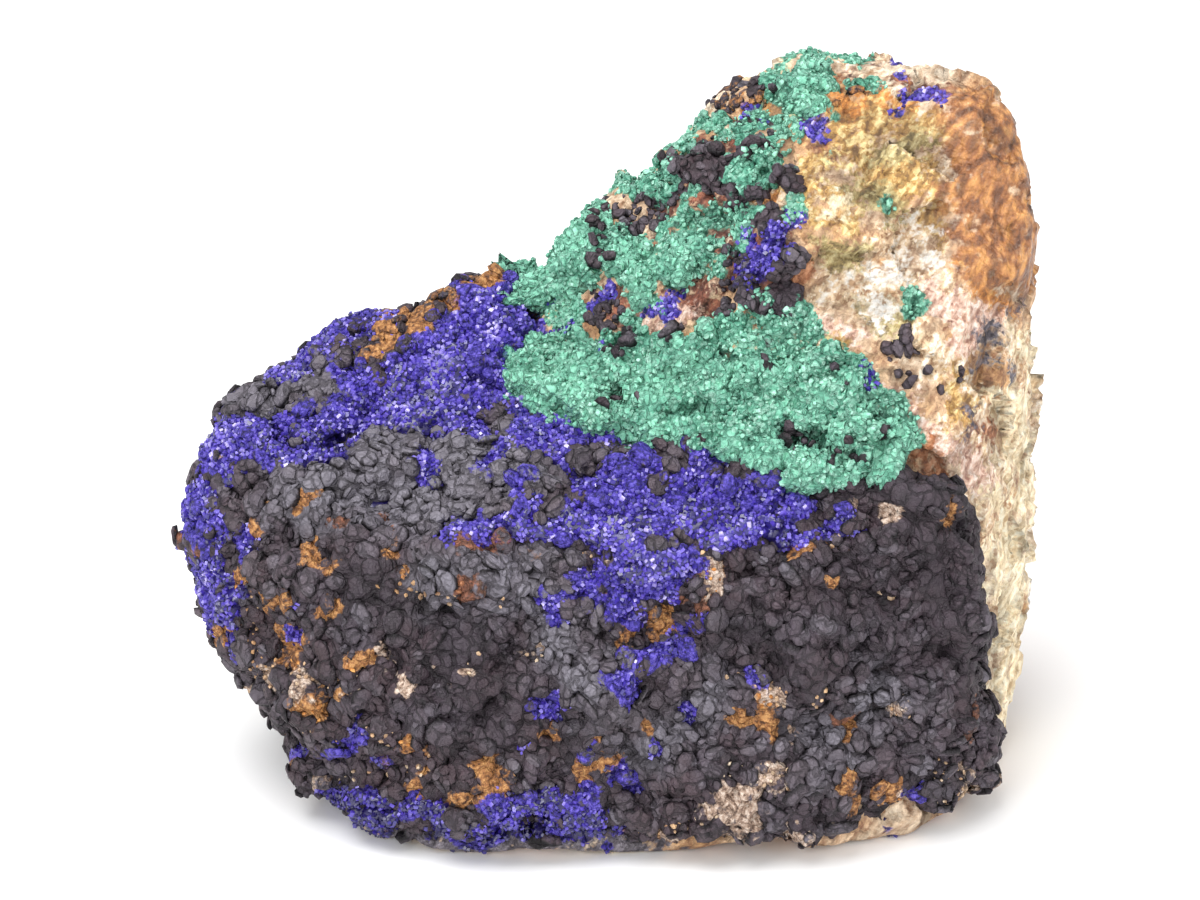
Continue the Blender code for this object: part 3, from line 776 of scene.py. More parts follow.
azuriteStrokes = [
    # along the crest
    (-30, 6.6, -26.8, 8.4, 1.4), (-26.8, 8.4, -22.8, 9.8, 1.9), (-22.8, 10, -18.9, 11.6, 1.3),
    (-26, 9.7, -22.4, 11.1, 1.1), (-22.8, 6.8, -21.2, 6.2, 1.3), (-19, 7.3, -16.2, 9.1, 0.9),
    (-17.3, 9, -7.3, 11.5, 2.3), (-16.2, 5.6, -6.3, 9.1, 2.5), (-19.5, 4.2, -12.8, 3.4, 1.5),
    (-11.7, 12.8, -5.4, 14.4, 1.7), (-12.1, 1.5, -10.4, 3.1, 1.2), (-9.4, 5.2, -8.4, 6.4, 1.5),
    (-8, 16, -6, 18, 1.2), (-24, 3.9, -21.5, 3.3, 0.6), (-15, -1.2, -15.2, -2.4, 1.1),
    (-9.9, -2.4, -8.6, 0.4, 0.6),
    # the band and the flank at the left
    (-34.3, 2.2, -26.8, 2.8, 1.3), (-26.8, 2.8, -21.9, 1.9, 1.4), (-33.3, 0.8, -24.2, 0.5, 1.6),
    (-28.6, -1.2, -28.2, -1, 0.8), (-33.7, -0.8, -32.4, -2.1, 1.0), (-36.2, -3.4, -34.3, -4.1, 1.2),
    (-36.4, -5.2, -34.4, -5.9, 1.3), (-34.9, -7.4, -35.1, -10.3, 1.4), (-35.1, -11.2, -33.4, -12.9, 1.4),
    (-33.9, -14.2, -34.4, -15.5, 0.9), (-31.6, -17.6, -31.4, -17.8, 0.4), (-31.1, -8.1, -30, -9.4, 0.9),
    (-32.7, -6.6, -32.2, -6.2, 0.5),
    # the middle
    (-7.1, 3.8, -5.5, 0.3, 1.0), (-4.3, 3.6, -2.4, 1.6, 1.6), (-0.3, 1.6, 3.4, -0.5, 1.3),
    (-3.2, -1, -3, -1.2, 0.8), (-1.7, -3.1, 1.4, -2.2, 1.1), (1.4, -2.2, 5.5, -1.7, 1.1),
    (9.1, -0.7, 12.9, -0.2, 1.2), (15.7, -1.5, 17, -2.3, 0.8), (0.3, -4.6, 16.8, -3.6, 1.9),
    (1.9, -6.6, 12.9, -6.1, 1.9), (15.5, -5.6, 17.3, -5.1, 1.1), (17, -7.5, 21.7, -6.4, 0.7),
    (-6.8, -4.1, -6.3, -6.6, 0.8), (-2.7, -5.6, -0.2, -6.6, 1.5), (-13.5, -7.5, -8.8, -6.4, 0.7),
    (-8.8, -6.6, -3.2, -7.2, 0.9), (0.3, -9.2, 7.5, -9.7, 1.5), (1.4, -11.3, 6, -11.3, 1.5),
    (-1.7, -11.5, 0.3, -11, 0.8), (-4.3, -13.1, -1.1, -12.5, 0.8), (-3.8, -14.3, -3.6, -14.3, 0.6),
    (0.3, -13.3, 3, -14.3, 0.8), (9.1, -8, 13.7, -8, 0.6), (4.5, -17.7, 7.3, -16.3, 0.6),
    (7.3, -15.4, 9.1, -14.9, 0.5), (3.3, -18.4, 7.4, -16.5, 0.6), (1.6, -19.8, 1.8, -21, 1.0),
    (7.5, -23, 7.6, -23.4, 0.7), (-8.8, 14.6, -7.4, 13, 1.2),
    # spots lower down
    (-21.3, -24.7, -21.2, -25.4, 0.6), (-26, -26, -25.6, -26.2, 0.6), (-23.2, -26, -22.8, -26, 0.4),
    (-20, -26.6, -18.8, -27.5, 0.3), (-5.4, -22.7, -3.1, -22.4, 0.55), (-3.4, -21.4, -3.3, -21.6, 0.4),
    (2.9, -18.4, 3, -18.6, 0.3), (-27.4, -14, -27.3, -14, 0.2), (-26.5, -16, -26.4, -16, 0.3),
    (-16.2, -22.9, -16.2, -23, 0.3), (-7.1, -26.3, -7.1, -26.3, 0.25), (-1.3, -26.5, -1.1, -26.4, 0.4),
    (0.7, -28.8, -2.6, -30.6, 0.4), (2, -28.6, 3.3, -29.6, 0.5), (27.2, -30.1, 27.4, -30.1, 0.3),
    (25.1, -33, 25.3, -33, 0.35), (13.3, -19.1, 14.3, -19.8, 0.2), (4.6, -25.4, 4.7, -25.8, 0.25),
    # along the foot
    (-24.4, -31, -20.5, -30.4, 0.8), (-22, -32.4, -18.6, -33, 0.9), (-19.6, -31.2, -15, -32, 0.7),
    (-14.5, -33.2, -10, -34, 1.1), (-9.5, -31.6, -3, -31, 1.0), (-8, -33.2, -2, -33.2, 0.8),
    (-3, -31.4, 0.6, -33.2, 0.9), (0.5, -34, 0.6, -34.4, 0.6),
    # on the peak
    (15.6, 18.6, 13.4, 15.3, 1.0), (12.8, 18.4, 13, 18.4, 0.5), (17.2, 20.2, 16.6, 19.6, 0.5),
    (7.2, 13.8, 7.9, 13.9, 0.8), (4.3, 12.2, 6.2, 12.2, 0.5), (1.2, 14.7, 1.3, 14.2, 0.6),
    (-0.3, 12.7, -0.4, 12.4, 0.6), (18.5, 28.1, 19.2, 27.7, 0.8), (-2.2, 9.8, -1, 8.8, 0.7),
    (25.9, 32.9, 26.1, 32.8, 0.3), (26.2, 31.4, 26.5, 31.2, 0.35), (25.5, 29.5, 26.5, 29.9, 0.3),
    (28.1, 31.2, 30.1, 30.8, 0.35), (12.9, 29.7, 12.9, 29.8, 0.4), (23.1, 6.6, 23.4, 6.8, 0.8),
]
azuriteGaps = [
    (-38, -6.6, -35.8, -8.6, 1.2), (-36, -12.8, -34.8, -16.4, 0.7), (-32.6, -9.6, -33.4, -12.4, 0.6),
    (-15.4, 12.9, -14.2, 12.7, 1.5), (-13.3, 12.7, -16.6, 10.9, 1.1), (-18.6, 10, -17.8, 9.8, 1.3),
    (-20, 8.4, -19.4, 7.8, 1.0), (-11.7, 14.6, -8.8, 15, 0.7), (-33, 4.4, -24.5, 5.4, 1.5),
    (-24, 7.4, -22, 8.2, 0.7), (1.2, 0.2, 1.6, 0, 0.6), (5, -3.4, 5.6, -3.8, 0.8), (7, -7.9, 8, -8.1, 0.8),
    (13.8, -6.2, 15, -6.5, 0.7), (18, -6.6, 19, -6.6, 0.6), (-1.5, -1.4, -0.4, -1, 0.7),
    (-5.5, 8, -4.8, 7, 0.5), (-27, 1.2, -26.2, 1, 0.6), (-33.5, -4, -32.8, -4.6, 0.5),
    (-17.4, -33.6, -16.2, -34.6, 1.0), (-12.6, -32.4, -10.4, -32.2, 0.5), (-6, -32.6, -4.6, -34, 0.6),
    (-25.6, -32.2, -24, -33, 0.8), (11, -2.2, 12.4, -2.4, 0.6), (-2, -8.8, 0.4, -9.4, 0.6),
]
malachiteStrokes = [
    # the ledge
    (-7.2, 6.6, -4.5, 8.3, 1.7), (-4.5, 6.2, 2, 4.6, 3.0), (-1, 7.8, 8, 8, 1.9), (3, 4.2, 13, 4.4, 3.4),
    (8, 8.6, 12, 10.6, 1.6), (13, 8, 17, 10.2, 2.2), (13, 4, 21, 5, 3.6), (20, 6.5, 22, 5.5, 1.6),
    (20, 1.5, 25.5, 3.4, 1.9), (17.5, -1.8, 20.5, -2.2, 1.4), (22, -1.4, 23, -1.2, 1.0),
    (4, 1.6, 6, 1.4, 1.2), (12, 0.6, 15, 0.6, 1.2), (12, -1.4, 12.4, -1.2, 0.5), (26, 2, 26.6, 1.4, 1.2),
    # the left edge and the slope
    (5.2, 24.2, 1.2, 23.4, 1.2), (1.2, 23.2, -1.4, 20.6, 1.2), (-1.6, 20, -3.3, 17.2, 1.6),
    (-2.9, 16.3, -4.2, 13.4, 2.1), (-2.9, 12.8, -3.2, 11.4, 1.6), (0.9, 19.1, 3.1, 17.9, 0.8),
    (0.9, 16.8, 3.9, 15.6, 1.3), (3.1, 14.2, 3.2, 13.8, 1.1), (5.8, 17.9, 6.2, 15.3, 1.3),
    (7.7, 20.2, 10.1, 20.6, 1.2), (10.1, 20.2, 13, 21, 0.8), (8.5, 19.1, 7.5, 17.2, 1.1),
    (9.6, 16.6, 9.7, 15.8, 0.9), (11.9, 19.1, 12, 19, 0.7), (2.4, 11.9, 2.8, 11.4, 0.5),
    (8.3, 22.5, 8.4, 22.4, 0.4), (4.9, 13, 5, 12.9, 0.4), (-7.6, 14.6, -7.2, 15, 0.6),
    # up to the peak
    (6.6, 26.7, 8.7, 28.6, 1.0), (8.7, 28.8, 10.6, 27.8, 0.9), (10.6, 27.8, 13.5, 28.8, 0.9),
    (13.5, 28.8, 17.6, 28.9, 0.9), (16.1, 30.9, 18.7, 31.2, 1.5), (17, 27.8, 17.1, 27.6, 0.7),
    (18, 32.7, 18.7, 30.2, 1.5), (14.9, 32.2, 15.2, 32.1, 0.8), (13.4, 25.9, 16.3, 26.2, 0.6),
    (11.6, 24.6, 14, 24.6, 0.9), (17.1, 34.2, 23.1, 34.8, 0.4), (21.8, 32, 24.4, 32.4, 0.5),
    (18.9, 26.9, 19, 26.6, 0.6), (16.5, 21, 17, 21.2, 0.6), (14.2, 13.2, 14.3, 13.2, 0.5),
    (27.1, 13.8, 27.2, 13.8, 0.4), (27.6, 12.4, 27.4, 11.8, 0.35), (25, 21, 25.1, 20.9, 0.35),
]
lumpStrokes = [
    # single goethite lumps and knots of them on the peak and among the malachite
    (0.5, 20.6, 4.6, 20.2, 1.3), (3.1, 22.5, 6.2, 22.5, 1.0), (6, 25.3, 6.1, 25.2, 1.0),
    (7.5, 24.7, 10.9, 24.7, 1.5), (9, 26.7, 9.2, 26.5, 0.9), (12.2, 26.8, 14.9, 27.3, 0.6),
    (9.4, 22.9, 9.5, 22.8, 1.0), (11.3, 21.8, 11.4, 21.7, 0.9), (13, 22.9, 13.1, 22.9, 0.8),
    (15.6, 24.7, 15.7, 24.4, 0.9), (14.2, 20.4, 14.3, 20.2, 1.3), (15.1, 16.2, 16.4, 17.2, 1.4),
    (11.9, 16.2, 11.9, 11.5, 1.4), (0.1, 17.9, 0.2, 17.6, 1.1), (0.5, 12.4, 1.7, 10, 1.7),
    (11.5, 31, 14.2, 31.4, 1.1), (10.3, 29.9, 10.4, 29.8, 0.8), (6.6, 10.5, 6.9, 10.4, 0.6),
    (20.8, 30.1, 20.9, 30.1, 0.5), (22.6, 31.2, 22.7, 31.3, 0.5), (25.9, 9.5, 27.4, 8.7, 0.7),
    (25.2, 8, 25.4, 7.9, 0.6), (26.2, 6.4, 27, 6.3, 0.9), (28.4, 7, 28.5, 6.9, 0.5),
    (29.6, 5.5, 29.7, 5.4, 0.4), (31.2, 6.2, 31.3, 6.2, 0.3), (29.6, 4.3, 29.7, 4.3, 0.3),
    (20.5, 7.3, 20.5, 7.2, 0.5), (21.6, 5.9, 21.7, 5.8, 0.5), (14.6, 7.4, 14.7, 7.3, 0.5),
    (14.9, 9.8, 15, 9.7, 0.5), (10.4, 9.2, 10.5, 9.1, 0.5), (16.3, 10.8, 16.4, 10.8, 0.4),
    (16.5, 0.9, 16.7, 0.8, 0.8), (19.3, 0.3, 19.4, 0.2, 0.6), (20.8, -0.6, 20.9, -0.7, 0.7),
    (21.4, 0.9, 21.5, 0.9, 0.5), (22.6, -0.6, 22.7, -0.6, 0.6), (24.6, 1.9, 24.7, 1.9, 0.5),
    (21.6, 3, 21.6, 3, 0.4), (0, 4.2, 1.2, 4.4, 0.6), (2.8, 4.2, 3.2, 4, 0.5),
]
malachiteGaps = [
    (-9, 15.8, -7.2, 13.8, 1.1), (18.9, 28.8, 18.6, 26.2, 0.9), (22.9, 0.9, 24.2, 0.5, 0.6),
    (20.6, 2.4, 21.6, 2.2, 0.5), (16.6, 1.6, 18.2, 1.2, 0.6), (0.6, 5, 2.4, 4.6, 0.5),
    (-0.4, 22.4, 3, 21.6, 0.6), (4.2, 18.8, 4.6, 17.6, 0.7), (-0.8, 16.4, 0.2, 15.2, 0.8),
    (5, 14.6, 5.4, 14, 0.7), (8.8, 27.6, 9.4, 27.2, 0.5), (14.8, 29.9, 15.2, 29.8, 0.4),
    (12, 27.9, 12.6, 27.7, 0.3),
]
# where the rock shows past the skin's right edge
rockWindows = [
    (33, 1.5, 34.6, -3, 1.7), (34.5, -3, 34.9, -12, 2.3), (35.7, -12, 35.6, -20, 2.1),
    (36.5, -20, 37, -23, 1.6), (28.6, 2.4, 31, 0.8, 0.9),
]
layout = {
    "azurite": (azuriteStrokes, azuriteGaps), "malachite": (malachiteStrokes, malachiteGaps),
    "goethite": (lumpStrokes, []),
}


def cover(points, normals, mineral, soft=0.35, ragged=0.8):
    # how much of a mineral shows, from its strokes and the gaps in them
    strokes, gaps = layout[mineral]
    shown = painted(points, normals, strokes, soft, ragged)
    return shown * (1 - painted(points, normals, gaps, soft, 0.6 * ragged))


hostStrokes = {
    "redBrown": [
        (5.5, 21.6, 5.1, 18.6, 1.0), (8.5, 15.4, 8.5, 12.9, 2.4), (11.9, 17.8, 12, 17.4, 1.0),
        (10, 26, 13, 26.2, 0.9), (8, 22, 14, 24, 2.0), (10, 19, 14, 17, 2.0), (15, 15, 16, 18, 1.6),
        (19, 27, 22, 26.4, 1.2), (2, 14, 2, 12, 1.4), (22, 32.6, 30, 31, 0.7), (31, 27, 33.5, 22, 1.3),
        (31, 19.5, 35, 18.6, 1.0),
    ],
    "limonite": [
        (-15, 12.8, -14.6, 12.8, 1.2), (-13.3, 12.7, -16.6, 10.7, 1.0), (-18.2, 10, -18.2, 9.8, 1.1),
        (-19.8, 8.2, -19.6, 8, 0.9), (-11.7, 14.2, -8.8, 14.7, 0.5), (12.4, 30.2, 13.6, 30, 0.9),
        (13.5, 22.3, 15, 21.8, 0.8), (20.5, 30.6, 27, 29.6, 1.6), (33, 15, 35, 12.5, 1.6),
        (31.6, 16, 33, 13, 1.1), (15.6, 12.8, 16.4, 12.2, 0.9), (18, 8, 19, 7.6, 0.8),
    ],
    "golden": [
        (19.4, 28, 23, 27, 1.3), (22.4, 26.2, 24.4, 24.6, 1.5), (24, 28.6, 30, 28.4, 1.4),
        (21, 22, 27, 24, 1.8), (19, 20.4, 22, 19.4, 1.4), (24.5, 22, 29, 24, 1.6),
        (17.4, 22.6, 18.4, 24.8, 1.2), (31, 6.6, 31.8, 2.6, 1.0), (20.5, 8.6, 22.4, 8, 0.7),
        (29, 25, 29.6, 18, 1.0),
    ],
    "olive": [
        (22, 23, 25.5, 21, 1.2), (25, 26, 28.4, 27, 0.8), (19, 18, 22.5, 17.2, 1.2),
        (24, 12.6, 26.4, 11, 1.1),
    ],
    "glassy": [
        (32, 29.5, 36.5, 28, 2.0), (32.8, 26, 37, 24, 2.2), (31.6, 22, 37.5, 21, 1.9),
        (32.5, 18.6, 38, 17.6, 2.0), (33.6, 15.8, 37.8, 14.8, 1.6),
    ],
    "cream": [
        (31, 8, 33.4, -1, 1.6), (30, 13, 32.5, 9, 1.2), (26.4, 20, 30, 21.5, 1.0), (34.6, 2, 33.8, -8, 0.9),
        (19.4, 22.4, 23.4, 23.6, 0.7), (17, 21.6, 20.4, 22.6, 0.7), (17.8, 12.4, 22, 16.2, 1.2),
        (15, 10.6, 19.4, 13, 1.0), (21, 13.6, 24, 12, 1.2), (23.6, 17.6, 29.6, 18.4, 1.4),
        (28.2, 20, 29, 24.6, 1.0), (24, 16, 31, 13.6, 1.6), (16.6, 9.6, 20.6, 9.8, 1.0),
        (27.6, 10.4, 29.6, 7.4, 1.4), (29, 2.6, 31.6, 0.6, 1.2), (16, 34, 22, 34.6, 0.6),
        (24.4, 19.8, 26.6, 20.4, 0.8), (35.6, 10, 37.2, 4, 0.9), (30, -2.6, 33, -3.6, 1.1),
        (33.6, 30.4, 35.6, 30.6, 0.7),
    ],
    "pink": [
        (22.6, 5, 27.4, 3.4, 1.6), (29.4, 13, 33.6, 11.4, 1.6), (19.4, 10.8, 22, 9.6, 1.2),
        (26.4, 1.4, 31, 0.2, 1.2), (31.6, -1, 33.4, -2.8, 1.4), (4, 10.6, 7.6, 11.9, 0.9),
        (33.4, 18, 36, 17, 0.9), (29, 27, 31, 30, 0.9), (-17.5, 11.5, -17, 11.6, 0.6),
        (12.6, -30.4, 13.4, -32.6, 1.2), (31, 9.4, 32.6, 8.6, 0.9),
    ],
    "quartz": [
        (36.6, 10, 37.6, 6, 1.0), (35.6, 4.6, 37.4, -4, 1.5), (35, -5, 36.6, -12, 1.7),
        (34.8, -13.4, 36.8, -19.6, 2.0), (34.6, -21, 36.6, -24, 1.3), (19.8, 21, 21.2, 21.8, 0.6),
        (24.6, 14.2, 25.4, 13.4, 0.6), (16, 33.2, 19, 33.9, 0.6),
    ],
    "white": [
        (24.8, 15.9, 25.8, 15.4, 0.9), (24.2, 13.2, 24.5, 12.6, 0.8), (27.4, 17, 29, 16.8, 0.7),
        (28.6, 18.4, 28.8, 18.6, 0.3),
    ],
    "rusty": [
        (-36.9, -7.7, -36.2, -8, 1.5), (14.5, 12, 17.6, 15.5, 1.1), (27, 0.2, 30.5, -3.4, 1.1),
        (33, 2.2, 34.6, 1.4, 0.7), (18.6, 32.4, 20.6, 31.4, 0.8),
    ],
    "black": [
        (-27, -30.5, -14, -34, 2.4), (-14, -34.2, 5, -35.2, 2.2), (34.3, 10.2, 33.7, 7, 0.3),
        (36.8, 12.4, 36.8, 12, 0.2), (35.6, 7.3, 35.7, 6.8, 0.3), (32.6, 2.8, 32.7, 2.2, 0.3),
    ],
}
gritStrokes = [
    (-31.5, -13, -29.5, -20, 1.0), (-27, -19.5, -21.5, -20, 0.9), (-26, -23.5, -17, -25.5, 0.8),
    (-22, -28.5, -15.5, -27.5, 0.8), (-11, -11.5, -8.5, -13, 0.6), (-12.5, -19.5, -10, -18, 0.5),
    (-7.5, -16.5, -6, -18, 0.5), (-34.5, 0, -33, -1, 0.4), (9, -9.5, 9.5, -12, 0.7),
    (11, -19.5, 16, -21.5, 0.7), (19, -22, 21.5, -22.6, 0.3), (25.5, -22.6, 26.6, -23.1, 0.3),
    (30.5, -28, 34.5, -29.5, 1.1), (28, -31.5, 32, -30.5, 0.6), (12, -28, 16, -29, 0.8),
    (24, -31, 27, -31, 0.6), (-24, -33.5, -17, -34.4, 0.5), (20, -9, 22, -6, 0.5), (-2, -9, 0, -10, 0.4),
    (-19, -12, -12, -13, 0.4), (2, -33.5, 10, -33, 0.5),
]
# where a painted grey sheen lies on the goethite skin
paintedSheenStrokes = [
    (-25, -3.5, -12, -4, 3.5), (-20, 0.5, -8, -2, 3.0), (-14, -11, -6, -11, 2.5), (-4, -16, 0, -21, 2.0),
    (-30, 5, -24, 6, 1.6), (4, -26, 9, -22, 2.0), (19, -26, 25, -22, 2.0),
]
# smoother and darker stretches of the skin, with few lumps
smoothDarkStrokes = [
    (-20, -12.5, -13, -15, 3.2), (-13, -16, -10, -24, 3.4), (-24, -8, -20, -13, 1.8),
    (26, -4, 30.5, -8, 3.0), (29, -8, 31, -18, 2.4), (12, -15, 18, -19, 2.2), (-2, -25, 3, -27, 1.8),
    (20, -12, 24, -16, 2.0),
]
goethiteStrokes = {
    "rusty": [
        (-13.5, -8.3, -8.4, -8.3, 0.8), (-17.5, -2.5, -16.8, -2.3, 0.7), (-37.2, -7.4, -36.4, -8, 1.5),
        (-23.3, -6.3, -22.8, -6.3, 0.6), (-11.7, -11.3, -11.2, -12.2, 1.3), (-18.6, -6.6, -18, -6.6, 0.6),
        (31.8, -23.4, 32.4, -22.6, 0.7), (21, -23.2, 21.4, -24, 0.6), (0.6, -12.6, 0.8, -12.8, 0.6),
        (5.6, -12, 8.4, -13.2, 0.7), (11.6, -0.8, 11.8, -1, 0.5), (-6, 0.4, -5.4, -0.4, 0.6),
        (19, 0.8, 17.6, 0.9, 0.7),
    ],
    "limonite": [
        (-15, 12.8, -14.6, 12.8, 1.3), (-13.3, 12.7, -16.6, 10.9, 1.0), (-18.2, 10, -18.2, 9.8, 1.1),
        (-19.8, 8.2, -19.6, 8, 0.9), (-11.7, 14.2, -8.8, 14.7, 0.6), (-30.3, -10.1, -32.3, -13.5, 0.5),
        (-32.3, -13.5, -33.6, -16.5, 0.8), (-24.6, -10.9, -22.4, -10.1, 0.6), (-28, -12.9, -28, -13, 0.5),
        (-26.8, -15.7, -26.8, -18.1, 0.5), (-24.9, -17, -24.8, -17, 0.5), (-20.8, -18.6, -20.2, -18.4, 0.6),
        (-25.4, -22.3, -25.2, -22.3, 0.8), (-23.4, -21.2, -23.2, -21.6, 0.8),
        (-16.3, -24, -16.3, -25.7, 0.7), (-16.2, -29.6, -15.4, -29.2, 1.2),
        (-18.4, -30.9, -18.2, -31.3, 0.9), (-9.5, -28.2, -9.4, -29.9, 1.5),
        (-13.6, -30.9, -11.1, -30.4, 0.6), (-1.6, -27.9, -0.2, -27.2, 1.3),
        (-22.9, -33.2, -22.1, -34.7, 1.2), (-19.8, -32.2, -19.7, -32.2, 0.5),
        (-26.8, -26.5, -26.8, -27, 0.8), (-19, -26.7, -18.9, -26.7, 0.5), (-23.4, -14, -23.4, -14.1, 0.5),
        (-29.1, -3.8, -29.1, -4, 0.6), (-29.5, -0.6, -29.4, -0.6, 0.4), (-25.6, -4.3, -25.5, -4.3, 0.4),
        (-29.4, -6.7, -29.6, -7.7, 0.5), (-25, -9.2, -24.2, -10.1, 0.9), (-18.4, -9.4, -18, -9.4, 0.7),
        (21.2, -29.1, 22, -30.6, 1.1), (25.9, -28.8, 24.8, -30.9, 0.7), (12.8, -23.2, 13.8, -22.5, 1.1),
        (21.8, -24.6, 21.9, -25.4, 0.4), (8.2, -10.1, 9.4, -10.7, 1.1), (20.4, -7.2, 19.3, -10.7, 0.4),
        (17.3, -8.7, 19.6, -8.9, 0.5), (-7.1, -8, -6.7, -8, 0.5), (4.7, -15.4, 9.1, -15.4, 0.6),
        (3, -16.2, 3.2, -16.3, 0.6), (20.1, -3.6, 20.2, -3.6, 0.5), (24.7, -0.3, 24.9, -0.5, 1.2),
        (20.4, 0.3, 20.5, 0.2, 0.6), (3.7, -24.5, 3.9, -24.5, 0.6), (0.1, -27.3, 0.2, -27.4, 0.7),
        (15.4, -24.7, 15.5, -25, 0.5), (17.7, -26.3, 17.8, -26.4, 0.4), (-4.6, -25.2, -4.4, -25.2, 0.4),
        (30, -5.6, 30.2, -5.6, 0.4),
    ],
    "pale": [
        (-25.4, -19.8, -25.4, -19.9, 0.5), (-22.4, -20.1, -22.2, -20.1, 0.6),
        (-24.4, -18.9, -24.3, -18.9, 0.5), (-26, -20.6, -26, -20.7, 0.4), (-29.8, -19.8, -28.2, -20.4, 0.5),
        (-18, -28.6, -18.8, -28.6, 0.5), (-24.4, -28.6, -24.3, -28.6, 0.4), (-10, -12.4, -9.9, -12.4, 0.4),
        (-10.3, -18.1, -10.2, -18.1, 0.4), (-11.4, -19.6, -12.6, -19.3, 0.4),
        (-7.8, -16.8, -6.2, -17.6, 0.5), (15.1, -21.2, 15.3, -21, 0.6), (11, -30.9, 15.4, -28.3, 1.1),
        (12.8, -30.6, 12.8, -32.6, 1.4), (19.4, -22.3, 21.2, -22.4, 0.35), (6.1, -34.2, 11, -33.6, 0.7),
        (13, -34.4, 24, -34.2, 0.7), (25.6, -22.9, 26.4, -22.9, 0.35), (31.5, -28.6, 33.3, -28.8, 0.7),
        (9.2, -9.6, 9.6, -11.2, 0.7), (22.9, -5.3, 25, -4.8, 0.25), (-18.4, -17.8, -18.2, -18, 0.5),
        (-16.6, -19.8, -16.5, -20.2, 0.4), (-0.6, -9, -0.3, -9.2, 0.5), (16.4, -25.6, 16.5, -25.8, 0.4),
        (26.8, -30.4, 27.2, -30.8, 0.4),
    ],
}


lumps, druse, broken = lumpyTree(), druseTree(), brokenTree()
# The two shapes that carry the rest, before their fine relief, with the size of their faces in mm.
hostRock = fineBase("hostRock", "host_rock", 0.36, 1)
goethiteCrust = fineBase("goethiteCrust", "goethite_crust", 0.31)
rockOnly = Carrier(hostRock)
both = Carrier(hostRock, goethiteCrust)
print("bases made")


def sunkRim(obj, node, carrier, rim, mineral=None, windows=[]):
    # lowers a crust's rim into what carries it, so that it fades out raggedly, and marks where it shows
    points = coordinates(obj.data)
    normals = coordinates(obj.data, "normal")
    ups = carrier.upwards(points)
    inwards = rimDistance(node, carrier, points)
    inwards += rim["ragged"] * (wander(points, 1.9, 5.0) + 0.5 * wander(points, 0.8, 1.0))
    sunk = 1 - smoothStep(0, rim["reach"], inwards)
    if mineral:
        _, _, toCamera = seen(points)
        shown = smoothStep(-0.25, 0.0, (ups * toCamera).sum(1))
        sunk = np.maximum(sunk, shown * (1 - cover(points, ups, mineral, 0.6)))
    if windows:
        sunk = np.maximum(sunk, painted(points, ups, windows, 0.5))
    outside = (normals * ups).sum(1) > -0.3
    setCoordinates(obj.data, points - ups * ((rim["depth"] * sunk + rim["lower"]) * mm)[:, None])
    return sunk, outside, points, normals


def standing(name, shape):
    # a little shape as an object, with "rise" from 0 at its foot to 1 at its top
    mesh = bpy.data.meshes.new(name)
    shape.to_mesh(mesh)
    shape.free()
    heights = coordinates(mesh)[:, 2]
    setAttribute(mesh, "rise", smoothStep(-0.1, heights.max(), heights))
    return newObject(name, mesh)


def shapeFrom(name, rings, sides, smooth):
    # a closed little shape, 1 across, round rings of (radius, height), each turned by half a side
    shape = bmesh.new()
    for number, (radius, height) in enumerate(rings):
        for side in range(sides):
            angle = math.tau * (side + 0.5 * number) / sides
            shape.verts.new((radius * math.cos(angle), radius * math.sin(angle), height))
    bmesh.ops.convex_hull(shape, input=shape.verts)
    for face in shape.faces:
        face.smooth = smooth
    return standing(name, shape)


def crystalShape():
    # a stubby tabular crystal with a bevelled top, 1 across, standing on z = 0
    shape = bmesh.new()
    for corner in (
        (-0.5, -0.34, -0.3), (0.5, -0.34, -0.3), (0.5, 0.34, -0.3), (-0.5, 0.34, -0.3), (-0.44, -0.3, 0.34),
        (0.46, -0.3, 0.26), (0.4, 0.32, 0.42), (-0.36, 0.3, 0.5),
    ):
        shape.verts.new(corner)
    bmesh.ops.convex_hull(shape, input=shape.verts)
    return standing("crystal", shape)


crystal = crystalShape()
lumpShape = shapeFrom("lump", [(0.5, -0.15), (0.46, 0.1), (0.3, 0.18)], 6, True)
domeShape = shapeFrom("dome", [(0.5, -0.15), (0.46, 0.16), (0.25, 0.32)], 6, True)
tuftShape = shapeFrom("tuft", [(0.3, -0.3), (0.5, 0.05), (0.26, 0.36)], 5, False)
lumpGrowth = {
    "Shape": lumpShape, "Spacing": 0.82 * mm, "Smallest": 0.8 * mm, "Largest": 2.2 * mm, "Lean": 0.35,
    "Stretch": 0.4, "Uneven": 0.75 * mm, "Seed": 11, "Keep base": True, "Material": materials["goethite"],
}
tuftGrowth = {
    "Shape": tuftShape, "Spacing": 0.4 * mm, "Smallest": 0.36 * mm, "Largest": 0.75 * mm, "Lean": 0.9,
    "Stretch": 0.35, "Uneven": 0.25 * mm, "Seed": 5, "Keep base": True, "Material": materials["malachite"],
}
crystalGrowth = {
    "Shape": crystal, "Spacing": 0.33 * mm, "Smallest": 0.28 * mm, "Largest": 0.5 * mm, "Lean": 0.9,
    "Stretch": 0.2, "Uneven": 0.0, "Seed": 3, "Keep base": True, "Material": materials["azurite"],
}


hostPiece = {
    "covered": 2.8 * mm,  # rock with the goethite crust this close above it is out of sight
    "patches": 11,  # size in mm of the first zone's patches at the back, and 1 more for each zone
    "glassyCalm": 0.5,  # how much less relief the glassy quartz has
    "relief": {
        "Chip size": 6.0 * mm, "Chip tilt": 0.45, "Flake size": 1.8 * mm, "Flake tilt": 0.4,
        "Grit size": 0.8 * mm, "Grit height": 0.35 * mm, "Material": materials["host_rock"],
    },
}


